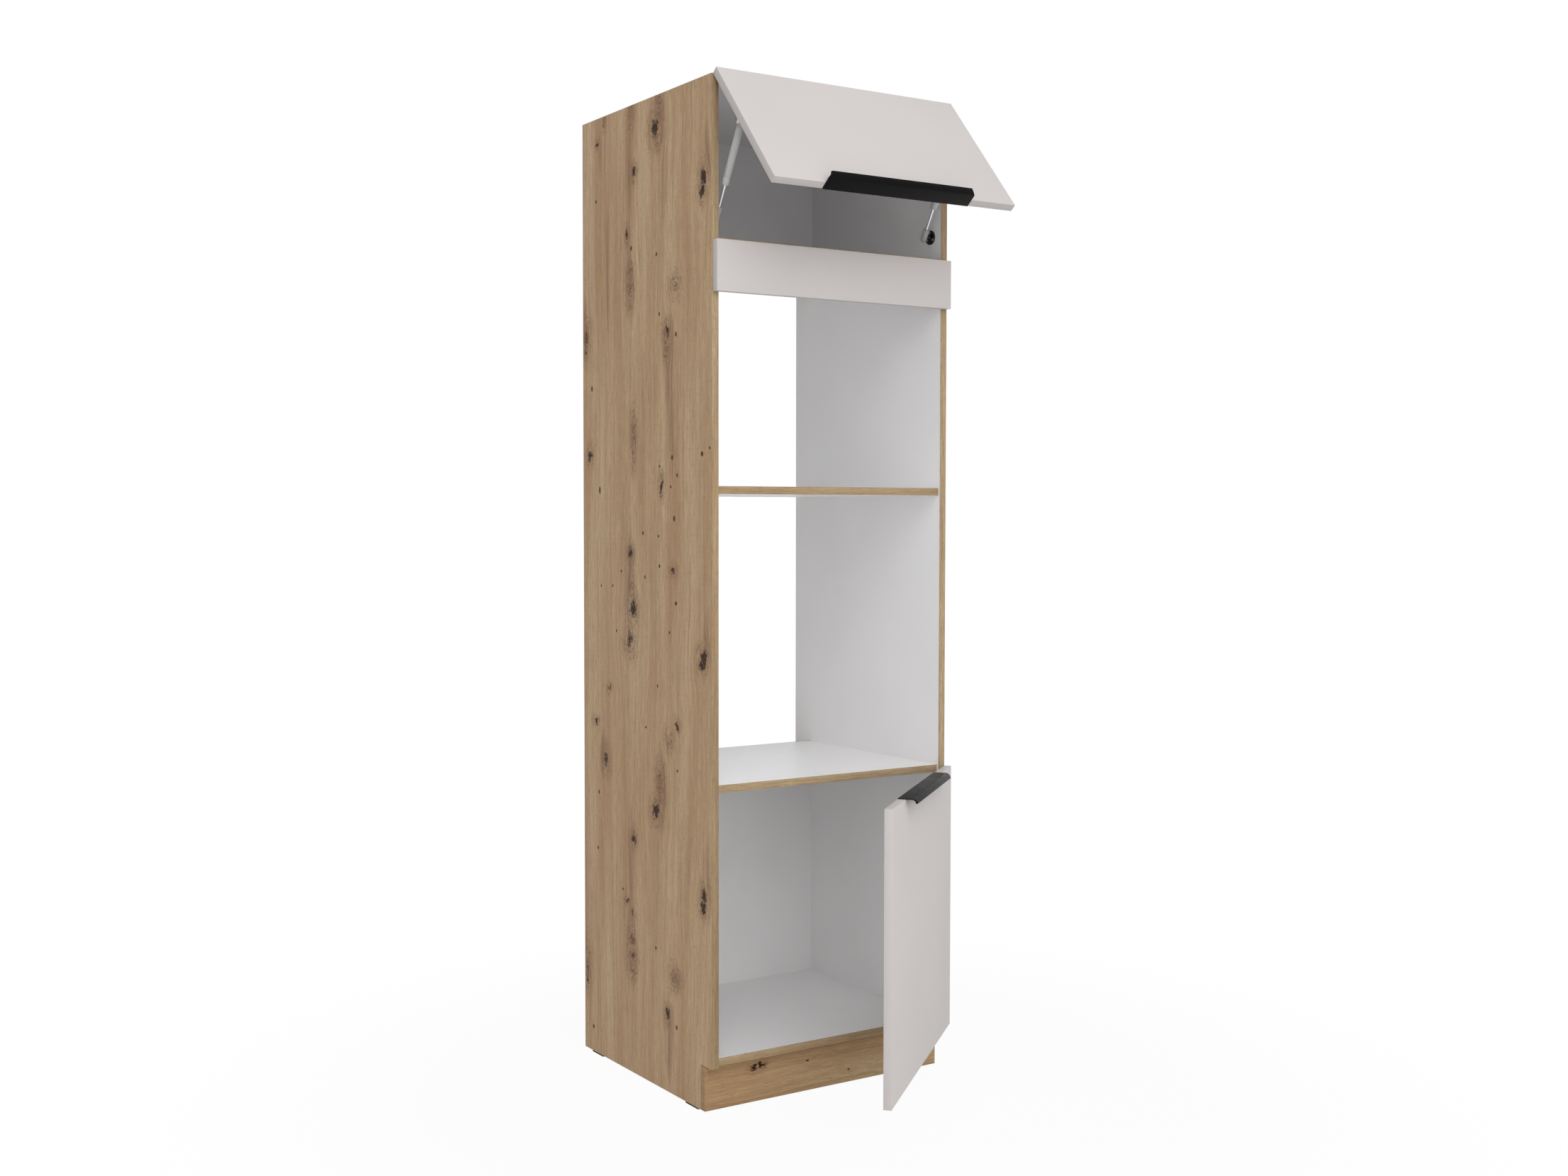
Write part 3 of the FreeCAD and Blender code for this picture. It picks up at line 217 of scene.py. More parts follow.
def makeOak(name, across, along, knots=(), pins=(), trails=(), shift=0.0, tint=(1.05, 1.07, 1.11)):
    # printed oak decor under melamine: knotty flat-sawn grain, a satin skin, pores pressed in with the print;
    # shift takes the grain from another part of the print
    material, tree, shader = newMaterial(name, Roughness=oakLook["satin"], Specular_IOR_Level=oakLook["sheen"])
    parts = addNode(tree, "SeparateXYZ", (addNode(tree, "TexCoord", out="Object"),)).node.outputs
    flat = addNode(tree, "CombineXYZ", (parts[across], parts[along], shift))

    def layer(place, key):
        # one layer of the grain over those places
        *sizes, detail, roughness, distortion = oakGrain[key]
        spot = addNode(tree, "VectorMath", (place, (*perMetre(*sizes), 1.0)), operation="MULTIPLY")
        return addNode(tree, "TexNoise", {
            "Vector": spot, "Scale": 1.0, "Detail": detail, "Roughness": roughness, "Distortion": distortion})

    # growth lines wander a little, and each knot pushes them aside, less and less with distance
    strayed = oakLook["wander"] * mm
    wander = addNode(tree, "MapRange", (layer(flat, "wander"), 0.0, 1.0, -strayed, strayed))
    warped = addNode(tree, "VectorMath", (flat, addNode(tree, "CombineXYZ", (wander,))), operation="ADD")
    if knots:
        ragged = layer(flat, "ragged").node.outputs["Color"]
        ragged = addNode(tree, "VectorMath", (ragged, (0.5, 0.5, 0.5)), operation="SUBTRACT")
        outlying = [span * mm for span in oakLook["ragged"]]
        ragged = addNode(tree, "VectorMath", (ragged, outlying, flat), operation="MULTIPLY_ADD")
        pushes, reaches, depths = [], [], []
        for trio, ray, reach in knotFields(tree, ragged, knots):
            fade = addNode(tree, "VectorMath", (reach, [knotLook["pushFade"]] * 3), operation="ADD")
            widths = [knot[2] * mm * knotLook["pushed"] for knot in trio]
            weight = addNode(tree, "VectorMath", (widths, fade), operation="DIVIDE")
            moved = addNode(tree, "VectorMath", (ray, weight), operation="MULTIPLY")
            pushes.append(addNode(tree, "VectorMath", (moved, (1.0, 1.0, 1.0)), "Value", operation="DOT_PRODUCT"))
            pale = [knotLook["paleness"] * (1 - knot[4]) for knot in trio]
            reaches.append(reach)
            depths.append(addNode(tree, "VectorMath", (reach, pale), operation="ADD"))
        push = pushes[0]
        for more in pushes[1:]:
            push = addNode(tree, "Math", (push, more), operation="ADD")
        aside = addNode(tree, "CombineXYZ", (push,))
        warped = addNode(tree, "VectorMath", (warped, aside), operation="SUBTRACT")

    # the print's tones, each laid over those before it
    lines = layer(warped, "lines")
    coats = [
        ("warm", addNode(tree, "MapRange", (layer(warped, "strips"), *printLook["strips"]))),
        ("line", addNode(tree, "MapRange", (lines, *printLook["lines"]))),
    ]
    if trails:
        spans = []
        for trio, ray, reach in knotFields(tree, warped, trails):
            pale = [1.0 - trail[4] for trail in trio]
            spans.append(addNode(tree, "VectorMath", (reach, pale), operation="ADD"))
        streak = addNode(tree, "MapRange", (smallest(tree, spans), *printLook["trailReach"]))
        strands = addNode(tree, "MapRange", (lines, *printLook["trailStrands"]))
        streak = addNode(tree, "Math", (streak, strands), operation="MULTIPLY")
        coats.append(("trail", addNode(tree, "Math", (streak, printLook["trailStrength"]), operation="MULTIPLY")))
    for key in ("fibres", "pores"):
        coats.append(("pore", addNode(tree, "MapRange", (layer(warped, key), *printLook[key]))))
    if knots:
        # bark in rings and strands, with hair cracks curling through it, round a broken dark core
        away = addNode(tree, "Math", (smallest(tree, reaches),), operation="SQRT")
        rings = addNode(tree, "Math", (away, knotLook["ringStep"]), operation="MULTIPLY")
        rings = addNode(tree, "Math", (rings,), operation="SINE")
        rings = addNode(tree, "MapRange", (rings, *knotLook["ringDepth"]))
        bark = addNode(tree, "Math", (
            addNode(tree, "MapRange", (away, *knotLook["barkReach"])),
            addNode(tree, "MapRange", (layer(warped, "swirls"), *knotLook["barkStrands"]))), operation="MULTIPLY")
        coats.append(("ring", addNode(tree, "Math", (bark, rings), operation="MULTIPLY")))
        curls = addNode(tree, "Math", (layer(warped, "curls"), 0.5), operation="SUBTRACT")
        curls = addNode(tree, "Math", (curls,), operation="ABSOLUTE")
        hairs = addNode(tree, "Math", (
            addNode(tree, "MapRange", (curls, *knotLook["hairWidth"])),
            addNode(tree, "MapRange", (away, *knotLook["hairReach"]))), operation="MULTIPLY")
        coats.append(("core", hairs))
        outline = addNode(tree, "MapRange", (layer(flat, "cracks"), *knotLook["outline"]))
        broken = addNode(tree, "Math", (smallest(tree, depths), outline), operation="ADD")
        coats.append(("core", addNode(tree, "MapRange", (broken, *knotLook["coreReach"]))))
    if pins:
        spots = [reach for trio, ray, reach in knotFields(tree, flat, pins)]
        coats.append(("core", addNode(tree, "MapRange", (smallest(tree, spots), *knotLook["pinReach"]))))
    tones = {key: tuple(c * t for c, t in zip(tone(oakLook[key]), tint)) + (1.0,)
             for key in ("pale", "warm", "line", "pore", "trail", "ring", "core")}
    colour = tones["pale"]
    for key, share in coats:
        colour = addNode(tree, "Mix", {0: share, 6: colour, 7: tones[key]}, 2, data_type="RGBA")
    pressed = layer(flat, "pressed")
    finishSkin(tree, shader, colour, pressed, oakLook["gloss"], pressed, oakLook["relief"])
    return material, tree, shader, colour


# from here on a pattern's size is in mm, and a relief is its strength and its depth in mm
melamineLook = {
    "tone": "#f6f5f5",
    "deepShare": 0.975,        # the darker places of the boards
    "sideTone": "#f6f5f5",
    "sideDeep": "#f2f1f1",
    "roughness": 0.4,
    "gloss": (0.35, 0.46),
    "sheen": 0.28,
    "broad": 250,              # slow changes of tone over a board
    "pearl": 1.11,             # pressed grain
    "pearlTone": (0.4, 0.8, 0.0, 0.25),
    "relief": (0.25, 0.06),
}


def makeMelamine(name):
    # melamine-faced board: a white pressed skin with a faint pearl grain, which breaks up highlights
    look = melamineLook
    material, tree, shader = newMaterial(name, Roughness=look["roughness"], Specular_IOR_Level=look["sheen"])
    place = addNode(tree, "TexCoord", out="Object")
    pearl = addNode(tree, "TexNoise", {"Vector": place, "Scale": 1000 / look["pearl"]})
    broad = addNode(tree, "TexNoise", {"Vector": place, "Scale": 1000 / look["broad"]})
    broad = addNode(tree, "MapRange", (broad, *noiseSpan))
    grain = addNode(tree, "MapRange", (pearl, *look["pearlTone"]))
    colour, deep = tone(look["tone"]), tone(look["tone"], look["deepShare"])
    for share in (broad, grain):
        colour = addNode(tree, "Mix", {0: share, 6: colour, 7: deep}, 2, data_type="RGBA")
    finishSkin(tree, shader, colour, pearl, look["gloss"], pearl, look["relief"])
    return material, tree, shader, colour


chipLook = {
    "pale": "#cbab7f",
    "brown": "#a9855a",
    "fleck": "#7a5c3c",
    "flake": (3.85, 3.85, 1.92),       # pressed wood flakes
    "fibre": 0.667,                    # dark fibre between them
    "fibreTone": (0.4, 0.75, 0.0, 0.35),
}


def makeChips(tree, place):
    # raw chipboard: pressed flakes of several browns, with fine dark fibre between them
    look = chipLook
    flakes = addNode(tree, "VectorMath", (place, perMetre(*look["flake"])), operation="MULTIPLY")
    flakes = addNode(tree, "TexVoronoi", {"Vector": flakes, "Scale": 1.0, "Randomness": 1.0}, "Color")
    flakes = addNode(tree, "SeparateColor", (flakes,))
    fibre = addNode(tree, "TexNoise", {"Vector": place, "Scale": 1000 / look["fibre"]})
    fibre = addNode(tree, "MapRange", (fibre, *look["fibreTone"]))
    colour = tone(look["pale"])
    for share, key in ((flakes, "brown"), (fibre, "fleck")):
        colour = addNode(tree, "Mix", {0: share, 6: colour, 7: tone(look[key])}, 2, data_type="RGBA")
    return colour


turnedAway = (0.4, 0.6)        # how far a surface looks along an axis where one face's look gives way to another's


def coreEdges(material, tree, shader, colour, faceAxis):
    # a board shows its pressed core where a face doesn't look along faceAxis
    place = addNode(tree, "TexCoord", out="Object")
    facing = addNode(tree, "SeparateXYZ", (addNode(tree, "NewGeometry", out="Normal"),), faceAxis)
    facing = addNode(tree, "Math", (facing,), operation="ABSOLUTE")
    skin = addNode(tree, "MapRange", (facing, *turnedAway))
    colour = addNode(tree, "Mix", {0: skin, 6: makeChips(tree, place), 7: colour}, 2, data_type="RGBA")
    tree.links.new(colour, shader.inputs["Base Color"])
    return material


def makeSide(name, hand, knots, pins, trails):
    # one board: oak decor on its outer face, white melamine inside, raw core on the cut edges
    material, tree, shader, oak = makeOak(name, 1, 2, knots, pins, trails)
    place = addNode(tree, "TexCoord", out="Object")
    broad = addNode(tree, "TexNoise", {"Vector": place, "Scale": 1000 / melamineLook["broad"]})
    broad = addNode(tree, "MapRange", (broad, *noiseSpan))
    facing = addNode(tree, "SeparateXYZ", (addNode(tree, "NewGeometry", out="Normal"),))
    outward = addNode(tree, "Math", (facing, float(hand)), operation="MULTIPLY")
    near, far = turnedAway
    core = addNode(tree, "MapRange", (outward, -far, -near))
    outside = addNode(tree, "MapRange", (outward, near, far))
    colour = tone(melamineLook["sideTone"])
    coats = ((broad, tone(melamineLook["sideDeep"])), (core, makeChips(tree, place)), (outside, oak))
    for share, over in coats:
        colour = addNode(tree, "Mix", {0: share, 6: colour, 7: over}, 2, data_type="RGBA")
    tree.links.new(colour, shader.inputs["Base Color"])
    return material


foilLook = {
    "tone": "#d0cac8",
    "deepShare": 0.95,
    "edgeShadeShare": 0.91,         # painted shade: the tone of the edges, which the light reaches less than the face
    "edgeShadeTurn": (0.55, 0.35),  # how far the surface is turned from the face where the painted edge shade begins and is full
    "roughness": 0.5,
    "gloss": (0.46, 0.56),
    "sheen": 0.42,
    "broad": 333,
    "powder": 0.714,           # coarser than the real powdery grain, which is too fine to show
    "powderTone": (0.4, 0.8, 0.0, 0.3),
    "relief": (0.2, 0.05),
}


def makeFoil(name, outward):
    # matt lacquer foil on a front: an even, silky colour with a powdery grain, and painted shade that darkens the
    # edges turned away from the face
    look = foilLook
    material, tree, shader = newMaterial(name, Roughness=look["roughness"], Specular_IOR_Level=look["sheen"])
    spots = addNode(tree, "TexCoord").node.outputs
    broad = addNode(tree, "TexNoise", {"Vector": spots["Object"], "Scale": 1000 / look["broad"]})
    powder = addNode(tree, "TexNoise", {
        "Vector": spots["Object"], "Scale": 1000 / look["powder"], "Detail": 1.0})
    facing = addNode(tree, "VectorMath", (spots["Normal"], outward), "Value", operation="DOT_PRODUCT")
    facing = addNode(tree, "Math", (facing,), operation="ABSOLUTE")
    coats = (
        (addNode(tree, "MapRange", (broad, *noiseSpan)), "deepShare"),
        (addNode(tree, "MapRange", (powder, *look["powderTone"])), "deepShare"),
        # painted shade: the colour darkens where the surface turns away from the face
        (addNode(tree, "MapRange", (facing, *look["edgeShadeTurn"])), "edgeShadeShare"),
    )
    colour = tone(look["tone"])
    for share, key in coats:
        over = tone(look["tone"], look[key])
        colour = addNode(tree, "Mix", {0: share, 6: colour, 7: over}, 2, data_type="RGBA")
    finishSkin(tree, shader, colour, powder, look["gloss"], powder, look["relief"])
    return material


metalLook = {
    "glossShares": (0.8, 1.25),        # of each metal's roughness
    "relief": (0.15, 0.04),
}


def makeMetal(name, hexText, roughness, streaks, depth=0.12, metallic=1.0):
    # metal with streaks from its making, which draw its highlights out; streaks is their size along each axis
    material, tree, shader = newMaterial(name, Metallic=metallic, Roughness=roughness)
    place = addNode(tree, "TexCoord", out="Object")
    marks = addNode(tree, "VectorMath", (place, perMetre(*streaks)), operation="MULTIPLY")
    marks = addNode(tree, "TexNoise", {"Vector": marks, "Scale": 1.0, "Detail": 3.0})
    share = addNode(tree, "MapRange", (marks, *noiseSpan))
    colour = addNode(tree, "Mix", {
        0: share, 6: tone(hexText, 1 - depth), 7: tone(hexText)}, 2, data_type="RGBA")
    gloss = [roughness * part for part in metalLook["glossShares"]]
    finishSkin(tree, shader, colour, marks, gloss, marks, metalLook["relief"])
    return material


plasticLook = {
    "grain": 0.83,             # coarser than a real mould's grain, which is too fine to show
    "grainTone": (0.35, 0.7),
    "deepShare": 0.86,
    "glossSteps": (-0.05, 0.08),       # from each plastic's roughness
    "relief": (0.2, 0.06),
}


def makePlastic(name, hexText, roughness, gleam=0.5):
    # moulded plastic: a spark-eroded mould leaves a fine even grain
    look = plasticLook
    material, tree, shader = newMaterial(name, Roughness=roughness, Specular_IOR_Level=gleam)
    place = addNode(tree, "TexCoord", out="Object")
    grain = addNode(tree, "TexNoise", {"Vector": place, "Scale": 1000 / look["grain"]})
    share = addNode(tree, "MapRange", (grain, *look["grainTone"]))
    colour = addNode(tree, "Mix", {
        0: share, 6: tone(hexText), 7: tone(hexText, look["deepShare"])}, 2, data_type="RGBA")
    gloss = [roughness + step for step in look["glossSteps"]]
    finishSkin(tree, shader, colour, grain, gloss, grain, look["relief"])
    return material


handleLook = {
    "dark": "#0d0b0b",
    "light": "#110f0f",
    "roughness": 0.42,
    "gloss": (0.4, 0.44),
    "sheen": 0.07,
    "drawn": (111, 0.385, 0.385),      # drawn lines, coarser than real ones, which are too fine to show
    "broad": 33.3,
    "relief": (0.12, 0.03),
}


def makeHandle(name, turn):
    # extruded aluminium, brushed along its length and anodised black: drawn lines catch the light as a soft grey sheen
    look = handleLook
    material, tree, shader = newMaterial(name, Roughness=look["roughness"], Specular_IOR_Level=look["sheen"])
    place = addNode(tree, "TexCoord", out="Object")
    drawn = addNode(tree, "Mapping", {"Vector": place, "Rotation": (0.0, 0.0, turn)})
    drawn = addNode(tree, "VectorMath", (drawn, perMetre(*look["drawn"])), operation="MULTIPLY")
    drawn = addNode(tree, "TexNoise", {"Vector": drawn, "Scale": 1.0})
    broad = addNode(tree, "TexNoise", {"Vector": place, "Scale": 1000 / look["broad"]})
    share = addNode(tree, "MapRange", (drawn, *noiseSpan))
    colour = addNode(tree, "Mix", {0: share, 6: tone(look["dark"]), 7: tone(look["light"])}, 2, data_type="RGBA")
    finishSkin(tree, shader, colour, broad, look["gloss"], drawn, look["relief"])
    return material


fibreLook = {
    "bare": "#a2805a",
    "bareDeep": "#866645",
    "bareBroad": "#93714c",
    "broadShare": 0.35,
    "lacquer": "#f5f4f4",
    "lacquerDeep": "#f0efef",
    "roughness": 0.5,
    "gloss": (0.42, 0.7),
    "felt": 2.38,              # pressed fibres
    "feltTone": (0.3, 0.72),
    "feltGloss": (0.2, 0.8),
    "broad": 167,
    "relief": (0.2, 0.1),
}


def makeFibreboard(name):
    # thin fibreboard back: white lacquer towards the rooms, bare brown pressed fibre towards the wall
    look = fibreLook
    material, tree, shader = newMaterial(name, Roughness=look["roughness"])
    place = addNode(tree, "TexCoord", out="Object")
    felt = addNode(tree, "TexNoise", {
        "Vector": place, "Scale": 1000 / look["felt"], "Detail": 4.0, "Roughness": 0.7})
    broad = addNode(tree, "TexNoise", {"Vector": place, "Scale": 1000 / look["broad"]})
    facing = addNode(tree, "SeparateXYZ", (addNode(tree, "NewGeometry", out="Normal"),), 1)
    near, far = turnedAway
    white = addNode(tree, "Mix", {
        0: addNode(tree, "MapRange", (broad, *noiseSpan)),
        6: tone(look["lacquer"]), 7: tone(look["lacquerDeep"])}, 2, data_type="RGBA")
    coats = (
        (addNode(tree, "MapRange", (felt, *look["feltTone"])), tone(look["bareDeep"])),
        (addNode(tree, "MapRange", (broad, *noiseSpan, 0.0, look["broadShare"])), tone(look["bareBroad"])),
        (addNode(tree, "MapRange", (facing, -near, -far)), white),
    )
    colour = tone(look["bare"])
    for share, over in coats:
        colour = addNode(tree, "Mix", {0: share, 6: colour, 7: over}, 2, data_type="RGBA")
    finishSkin(tree, shader, colour, felt, look["gloss"], felt, look["relief"], look["feltGloss"])
    return material


beechLook = {
    "pale": "#d8b88c",
    "brown": "#b98f63",
    "roughness": 0.6,
    "fleck": (33.3, 1.11, 1.11),
    "fleckTone": (0.35, 0.7),
}


def makeBeech(name):
    # turned beech dowels: straight pale grain with short ray flecks
    look = beechLook
    material, tree, shader = newMaterial(name, Roughness=look["roughness"])
    fleck = addNode(tree, "TexCoord", out="Object")
    fleck = addNode(tree, "VectorMath", (fleck, perMetre(*look["fleck"])), operation="MULTIPLY")
    fleck = addNode(tree, "TexNoise", {"Vector": fleck, "Scale": 1.0})
    fleck = addNode(tree, "MapRange", (fleck, *look["fleckTone"]))
    colour = addNode(tree, "Mix", {0: fleck, 6: tone(look["pale"]), 7: tone(look["brown"])}, 2, data_type="RGBA")
    tree.links.new(colour, shader.inputs["Base Color"])
    return material


frontTurn = math.radians(40)           # both fronts stand open by this angle
doorOutward = (math.sin(frontTurn), -math.cos(frontTurn), 0.0)
flapOutward = (0.0, -math.cos(frontTurn), math.sin(frontTurn))
looks = {
    "sideLeft": makeSide("oakAndWhiteBoardLeft", -1, sideKnots, sidePins, sideTrails),
    "sideRight": makeSide("oakAndWhiteBoardRight", 1, sideKnots, sidePins, sideTrails),
    "oakUpright": makeOak("oakEdgeBandUpright", 0, 2, shift=0.4, tint=oakLook["bandTint"])[0],
    "oakLevel": makeOak("oakEdgeBandLevel", 2, 0, shift=0.9, tint=oakLook["levelTint"])[0],
    "oakPlinth": makeOak("oakPlinthBoard", 2, 0, plinthKnots, plinthPins, shift=0.2, tint=oakLook["plinthTint"])[0],
    "board": coreEdges(*makeMelamine("whiteMelamineBoard"), 2),
    "fasciaFront": makeFoil("cashmereMattFoilFascia", (0.0, -1.0, 0.0)),
    "doorFront": makeFoil("cashmereMattFoilDoor", doorOutward),
    "flapFront": makeFoil("cashmereMattFoilFlap", flapOutward),
    "handleFlap": makeHandle("blackAnodisedFlapHandle", 0.0),
    "handleDoor": makeHandle("blackAnodisedDoorHandle", -frontTurn),
    "back": makeFibreboard("lacqueredFibreboard"),
    "beech": makeBeech("beechDowel"),
    "zincCast": makeMetal("castZinc", "#a7a8aa", 0.42, (3.33, 3.33, 3.33)),
    "zincSteel": makeMetal("zincPlatedSteel", "#b9bcbf", 0.34, (4.55, 4.55, 16.7)),
    "nickel": makeMetal("nickelPlatedSteel", "#c8c6c1", 0.24, (6.25, 6.25, 6.25), 0.06),
    "chrome": makeMetal("hardChromedRod", "#d4d5d7", 0.1, (25, 25, 1.11), 0.05),
    "darkSteel": makeMetal("blackenedSteelDisc", "#4a4a4e", 0.3, (3.85, 3.85, 3.85), 0.1),
    "tube": makeMetal("greyEnamelledTube", "#bdbdbc", 0.36, (2, 2, 2), 0.05, 0.0),
    "socket": makePlastic("greyNylonFitting", "#b0afad", 0.46),
    "glide": makePlastic("blackPolyethylene", "#0b0b0b", 0.6, 0.15),
}
print("materials made:", len(looks))

# the look of every CAD node, and of the softened copy that stands for it
nodeLooks = {
    "side_panel_left": "sideLeft", "side_panel_right": "sideRight",
    "side_edge_bands": "oakUpright", "board_edge_bands": "oakLevel", "plinth_board": "oakPlinth",
    "top_panel": "board", "top_deck": "board", "middle_shelf": "board", "oven_deck": "board",
    "bottom_board": "board", "back_panel_lower": "back", "back_panel_upper": "back",
    "fascia": "fasciaFront", "lower_door": "doorFront", "lift_flap": "flapFront",
    "door_handle": "handleDoor", "flap_handle": "handleFlap",
    "wooden_dowels": "beech", "cam_bolts": "zincSteel", "cam_locks": "zincCast",
    "floor_glides": "glide", "plinth_brackets": "zincSteel", "fascia_brackets": "zincSteel",
    "wall_brackets": "zincSteel", "door_hinge_cups": "nickel", "flap_hinge_cups": "nickel",
    "door_hinge_links": "zincSteel", "flap_hinge_links": "zincSteel", "door_hinge_arms": "nickel",
    "flap_hinge_arms": "nickel", "door_hinge_plates": "nickel", "flap_hinge_plates": "nickel",
    "strut_tube_left": "tube", "strut_tube_right": "tube", "strut_rod_left": "chrome",
    "strut_rod_right": "chrome", "strut_lower_socket_left": "socket", "strut_lower_socket_right": "socket",
    "strut_upper_socket_left": "socket", "strut_upper_socket_right": "socket",
    "strut_base_plates": "darkSteel", "strut_ball_brackets": "nickel",
}
for nodeName, look in nodeLooks.items():
    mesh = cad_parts[nodeName].data
    mesh.materials.clear()
    mesh.materials.append(looks[look])


def finishPiece(shape, name, look, body, angle=35):
    # writes a bmesh to a new object whose place is in its mesh, creased where faces meet at more than angle
    mesh = bpy.data.meshes.new(name)
    shape.to_mesh(mesh)
    shape.free()
    mesh.materials.append(looks[look])
    mesh.shade_smooth()
    mesh.set_sharp_from_angle(angle=math.radians(angle))
    piece = bpy.data.objects.new(name, mesh)
    bpy.context.scene.collection.objects.link(piece)
    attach(piece, body)
    return piece


softLook = {
    "join": 0.004,         # mm, corners nearer than this are one
    "flat": 0.5,           # degrees, faces that meet below this are one
    "sharp": 38,           # degrees, edges above this are eased
}


def soften(nodeName, name, body, slot, width, segments):
    # a merged copy of a CAD node with its sharp edges eased, which then stands for the node
    shape = bmesh.new()
    shape.from_mesh(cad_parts[nodeName].data)
    bmesh.ops.remove_doubles(shape, verts=shape.verts, dist=softLook["join"] * mm)
    bmesh.ops.dissolve_limit(shape, angle_limit=math.radians(softLook["flat"]), verts=shape.verts, edges=shape.edges)
    limit = math.radians(softLook["sharp"])
    sharp = [edge for edge in shape.edges if len(edge.link_faces) == 2 and edge.calc_face_angle() > limit]
    bmesh.ops.bevel(shape, geom=sharp, offset=width * mm, offset_type="OFFSET", segments=segments,
                    profile=0.5, affect="EDGES", clamp_overlap=True, material=-1)
    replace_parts(finishPiece(shape, name, nodeLooks[nodeName], body), nodeName)


softened = [
    # node, new name, body, slot, arris in mm, rows of faces across it
    ("lower_door", "lowerDoorPanel", "lower_door", "cashmere_front", 0.5, 3),
    ("lift_flap", "liftFlapPanel", "lift_flap", "cashmere_front", 0.5, 3),
    ("fascia", "fasciaPanel", "carcass", "cashmere_front", 0.5, 3),
    ("plinth_board", "plinthPanel", "carcass", "oak_decor", 0.5, 2),
    ("side_edge_bands", "sideBands", "carcass", "oak_decor", 0.4, 2),
    ("board_edge_bands", "boardBands", "carcass", "oak_decor", 0.4, 2),
    ("door_handle", "doorHandleProfile", "lower_door", "black_handle", 0.5, 3),
    ("flap_handle", "flapHandleProfile", "lift_flap", "black_handle", 0.5, 3),
    ("floor_glides", "floorGlidePads", "carcass", "black_plastic", 0.8, 2),
    ("door_hinge_cups", "doorHingeCups", "lower_door", "nickel_plate", 0.3, 2),
    ("flap_hinge_cups", "flapHingeCups", "lift_flap", "nickel_plate", 0.3, 2),
    ("door_hinge_arms", "doorHingeArms", "carcass", "nickel_plate", 0.5, 2),
    ("flap_hinge_arms", "flapHingeArms", "carcass", "nickel_plate", 0.5, 2),
    ("door_hinge_plates", "doorHingePlates", "carcass", "nickel_plate", 0.5, 2),
    ("flap_hinge_plates", "flapHingePlates", "carcass", "nickel_plate", 0.5, 2),
    ("fascia_brackets", "fasciaAngles", "carcass", "zinc_steel", 0.4, 2),
    ("wall_brackets", "wallAngles", "carcass", "zinc_steel", 0.4, 2),
    ("plinth_brackets", "plinthAngles", "carcass", "zinc_steel", 0.4, 2),
    ("strut_base_plates", "strutBaseDiscs", "carcass", "nickel_plate", 0.4, 2),
    ("strut_ball_brackets", "strutBallBrackets", "lift_flap", "nickel_plate", 0.3, 2),
    ("strut_tube_left", "strutTubeLeft", "strut_tube_left", "strut_enamel", 0.4, 2),
    ("strut_tube_right", "strutTubeRight", "strut_tube_right", "strut_enamel", 0.4, 2),
]
for row in softened:
    soften(*row)
print("softened pieces:", len(softened))


def addLoop(shape, radius, place, segments):
    # a round loop about the Z axis of place: its corners and its edges, each once and in the same order every run
    verts = bmesh.ops.create_circle(
        shape, cap_ends=False, segments=segments, radius=radius, matrix=place)["verts"]
    return verts, list(dict.fromkeys(edge for vert in verts for edge in vert.link_edges))


def addCross(shape, reach, half, height):
    # the twelve edges of a cross-shaped driver slot
    corners = []
    for quarter in range(4):
        turn = Matrix.Rotation(math.pi / 2 * quarter, 3, "Z")
        for x, y in ((reach, -half), (reach, half), (half, half)):
            corners.append(shape.verts.new(turn @ Vector((x, y, height))))
    return [shape.edges.new((corners[i], corners[(i + 1) % 12])) for i in range(12)]


headLook = {
    "segments": 24,
    # shares of the head's radius and height from the rim up
    "profile": ((1.0, 0.0), (1.0, 0.35), (0.86, 0.8), (0.62, 1.0)),
    # driver slot: reach and half width as shares of the radius, then share of the height
    "slot": ((0.5, 0.12, 1.0), (0.38, 0.08, 0.3)),
}


def addHead(shape, place, aim, radius, height, slotted):
    # one screw or nail head standing on place and pointing along aim
    head = bmesh.new()
    loops = []
    for wide, up in headLook["profile"]:
        level = Matrix.Translation((0, 0, height * up))
        loops.append(addLoop(head, radius * wide, level, headLook["segments"])[1])
    if slotted:
        for reach, half, up in headLook["slot"]:
            loops.append(addCross(head, radius * reach, radius * half, height * up))
    for first, second in zip(loops, loops[1:]):
        bmesh.ops.bridge_loops(head, edges=first + second)
    bmesh.ops.edgeloop_fill(head, edges=loops[0])
    bmesh.ops.edgeloop_fill(head, edges=loops[-1])
    bmesh.ops.recalc_face_normals(head, faces=head.faces)
    turn = Vector(aim).to_track_quat("Z", "Y").to_matrix().to_4x4()
    bmesh.ops.transform(head, matrix=Matrix.Translation(place) @ turn, verts=head.verts)
    single = bpy.data.meshes.new("head")
    head.to_mesh(single)
    head.free()
    shape.from_mesh(single)
    bpy.data.meshes.remove(single)


def addFixings(name, body, closed, rows, slotted=True):
    # heads given as (place, aim, radius, height) in mm, where closed is the frame of their body's closed place
    shape = bmesh.new()
    for place, aim, radius, height in rows:
        at = closed @ (Vector(place) * mm)
        towards = closed.to_3x3() @ Vector(aim)
        addHead(shape, at, towards, radius * mm, height * mm, slotted)
    finishPiece(shape, name, "zincSteel", body, 30)


